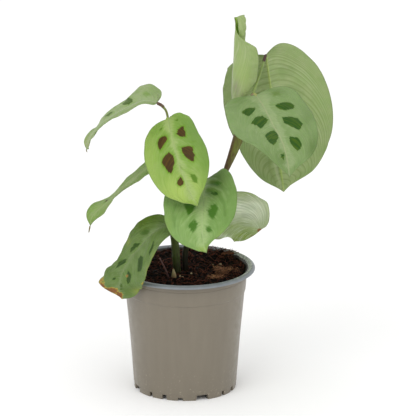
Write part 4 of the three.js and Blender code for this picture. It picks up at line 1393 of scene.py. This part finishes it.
leafBigRear = {
    "node": "leaf_big_rear", "slot": "leaf_pale",
    "midrib": [(69, 28, 287), (72, 34, 264), (75, 40.5, 240), (78.5, 48, 209), (81.5, 51, 181),
               (84.5, 46, 159)],
    "roll": (169, 173, 176, 178, 179, 178), "half": (45.5, 52.5),
    "fold": ((25, 32), (45, -2)), "curl": ((-12, -1), (-16, -20)),
    "skew": 0.93, "sharp": 1, "lobe": (5.5, 5), "veins": (0.1, 0.4),
    "trim": (
        ((0.17, 1.02), (0.2, 1.05), (0.235, 1.055), (0.25, 1.02), (0.29, 0.995), (0.33, 0.975),
         (0.37, 0.985), (0.41, 0.97), (0.5, 0.985), (0.66, 1), (0.7, 1.055), (0.76, 1.115),
         (0.79, 1.15), (0.82, 1.15), (0.85, 1.1), (0.9, 1), (1, 1)),
        ((0.3, 0.99), (0.36, 1.01), (0.6, 1.01), (0.65, 1), (0.7, 1.04), (0.73, 1.085),
         (0.76, 1.15), (0.79, 1.22), (0.815, 1.2), (0.85, 1.02), (0.88, 0.84), (0.93, 0.85),
         (1, 1))),
    "strip": 17,
    "under": "#92a06e", "underToo": "#879b62", "underLine": "#7b8c55", "underPale": "#a8b28a",
    "rib": "#99ac54",
    "streakSize": (2.6, 24), "underVein": 5, "lineStrength": 0.75, "ribStrength": 0.5,
    "hidden": 13,
    # a fold: relief, with painted shade on one side and painted highlight on the other
    "creases": [
        (1, [(275, 163), (277, 175), (283, 189)], 1.6, -0.6),
        (-1, [(275, 163), (277, 175), (283, 189)], 1.6, -0.6),
        (1, [(270, 158), (270, 170), (276, 182)], 1.8, 0.5),
        (-1, [(270, 158), (270, 170), (276, 182)], 1.8, 0.5)],
}
makeLeaf("bigRearLeaf", leafBigRear)

leafTopFront = {
    "node": "leaf_top_front", "slot": "leaf_grey",
    "midrib": [(60.5, -3, 260.5), (66.5, -19, 256), (74, -38, 246.5), (82.5, -59, 236),
               (86.5, -73, 224), (88.5, -80, 211.5)],
    "roll": (-11, -14, -14, -19, -23, -28), "half": (37.5, 39),
    "fold": ((6, -3), (19, 16)), "curl": ((-26, -19), (8, -18)),
    "skew": 0.88, "sharp": 1.5, "lobe": (5, 5),
    "green": "#7e945f", "greenToo": "#758e56", "washGreen": "#597237", "pale": "#9ca97e",
    "deep": "#648046", "shade": "#5e7934", "mark": "#234b00", "markVein": "#456101",
    "halo": "#648137", "rim": "#6c7b4d", "ribTop": "#a0a67f",
    "band": 2.2, "feather": 8, "bandStrength": 0.42, "haloStrength": 0.2, "streaks": 0.2,
    "marks": [
        (-1, [(274.4, 105.6), (283.9, 101.8), (291.1, 103.1), (294.7, 105.9), (293.6, 108.7),
              (286.7, 110.3), (280, 109.2)]),
        (1, [(241.7, 112), (247.2, 108.1), (255.8, 108.1), (253.9, 112), (248.3, 117),
             (242.8, 113.7)]),
        (1, [(250.6, 123.7), (255.6, 117), (262.2, 115.9), (268.3, 119.8), (265.6, 123.7),
             (260.6, 128.7), (257.2, 126.4)]),
        (-1, [(282.2, 117.6), (291.1, 116.7), (297.8, 118.1), (302.8, 123.7), (300, 130.3),
              (291.1, 126.4), (283.9, 122.6)]),
        (1, [(265, 135.3), (268.9, 132), (274.4, 130.6), (278.3, 135.3), (277.2, 140.9),
             (274.1, 145.3), (268.9, 142), (265.8, 138.1)]),
        (-1, [(289.4, 136.4), (297.8, 137.6), (302.2, 144.2), (300.6, 148.7), (297.2, 151.4),
              (292.8, 147.6), (290, 142.6)]),
        (1, [(280.6, 154.2), (283.9, 153.7), (283.9, 159.8), (281.1, 157.6)])],
    "shades": [(-1, [(272, 93.5), (279, 92.3), (279, 94.8), (274, 96)])],
    # painted shade: the darker washes lie along the curled-down margins
    "wash": [(313, 148, 7, 12, 0.9), (282, 160, 8, 9, 0.5), (278, 92, 10, 5, 0.35),
             (236, 100, 10, 5, 0.3), (307, 117, 8, 14, 0.4), (265, 155, 12, 7, 0.35)],
}
makeLeaf("topFrontLeaf", leafTopFront)

leafYoung = {
    "node": "leaf_young_rolled", "slot": "leaf_pale",
    "midrib": [(45.6, 10.2, 236), (40.8, 14.8, 252), (40.6, 13, 271), (41.8, 12, 290),
               (42.3, 12, 306), (43.2, 11.6, 316), (43.2, 12.1, 321), (42.2, 13.8, 325)],
    "roll": (90, 90, 90, 90, 88, 86), "half": (29, 26),
    "fold": ((0, 0), (0, 0)),
    "curl": ((330, 230, 160, 135, 125, 112), (330, 280, 250, 266, 346, 350)),
    "skew": 0.95, "sharp": (0.6, -0.6), "lobe": (0, 0), "veins": (0.7, 0.2), "rows": 150,
    "trim": (
        ((0.5, 1), (0.6, 1.06), (0.67, 1.1), (0.71, 1), (0.74, 0.8), (0.77, 0.52), (0.795, 0.25),
         (0.82, 0.1), (1, 0.06)),
        ((0.68, 1), (0.76, 1.1), (0.85, 1.35), (0.94, 1.7), (1, 1.8))),
    "ripple": (0.1, 40),
    # painted light: the inner face is brightened for light shining through the rolled blade
    "green": "#acce43", "greenToo": "#9ec231", "pale": "#b9d270",
    "streaks": 0.15,
    "under": "#99aa73", "underToo": "#91a567", "silver": "#8a8875", "underLine": "#84975c",
    "underPale": "#afb591", "underWash": "#a6ba72", "rib": "#acada1",
    "streakSize": (4.5, 26), "underStreaks": 0.75, "underVein": 8, "lineStrength": 0.4,
    # the grey silver patch is painted shade
    "wash": [(244, 78, 7, 16, 0.5)], "silverAt": [(237, 88, 4.5, 8, 0.9)],
}
makeLeaf("youngRolledLeaf", leafYoung)
print("leaves unfolded")
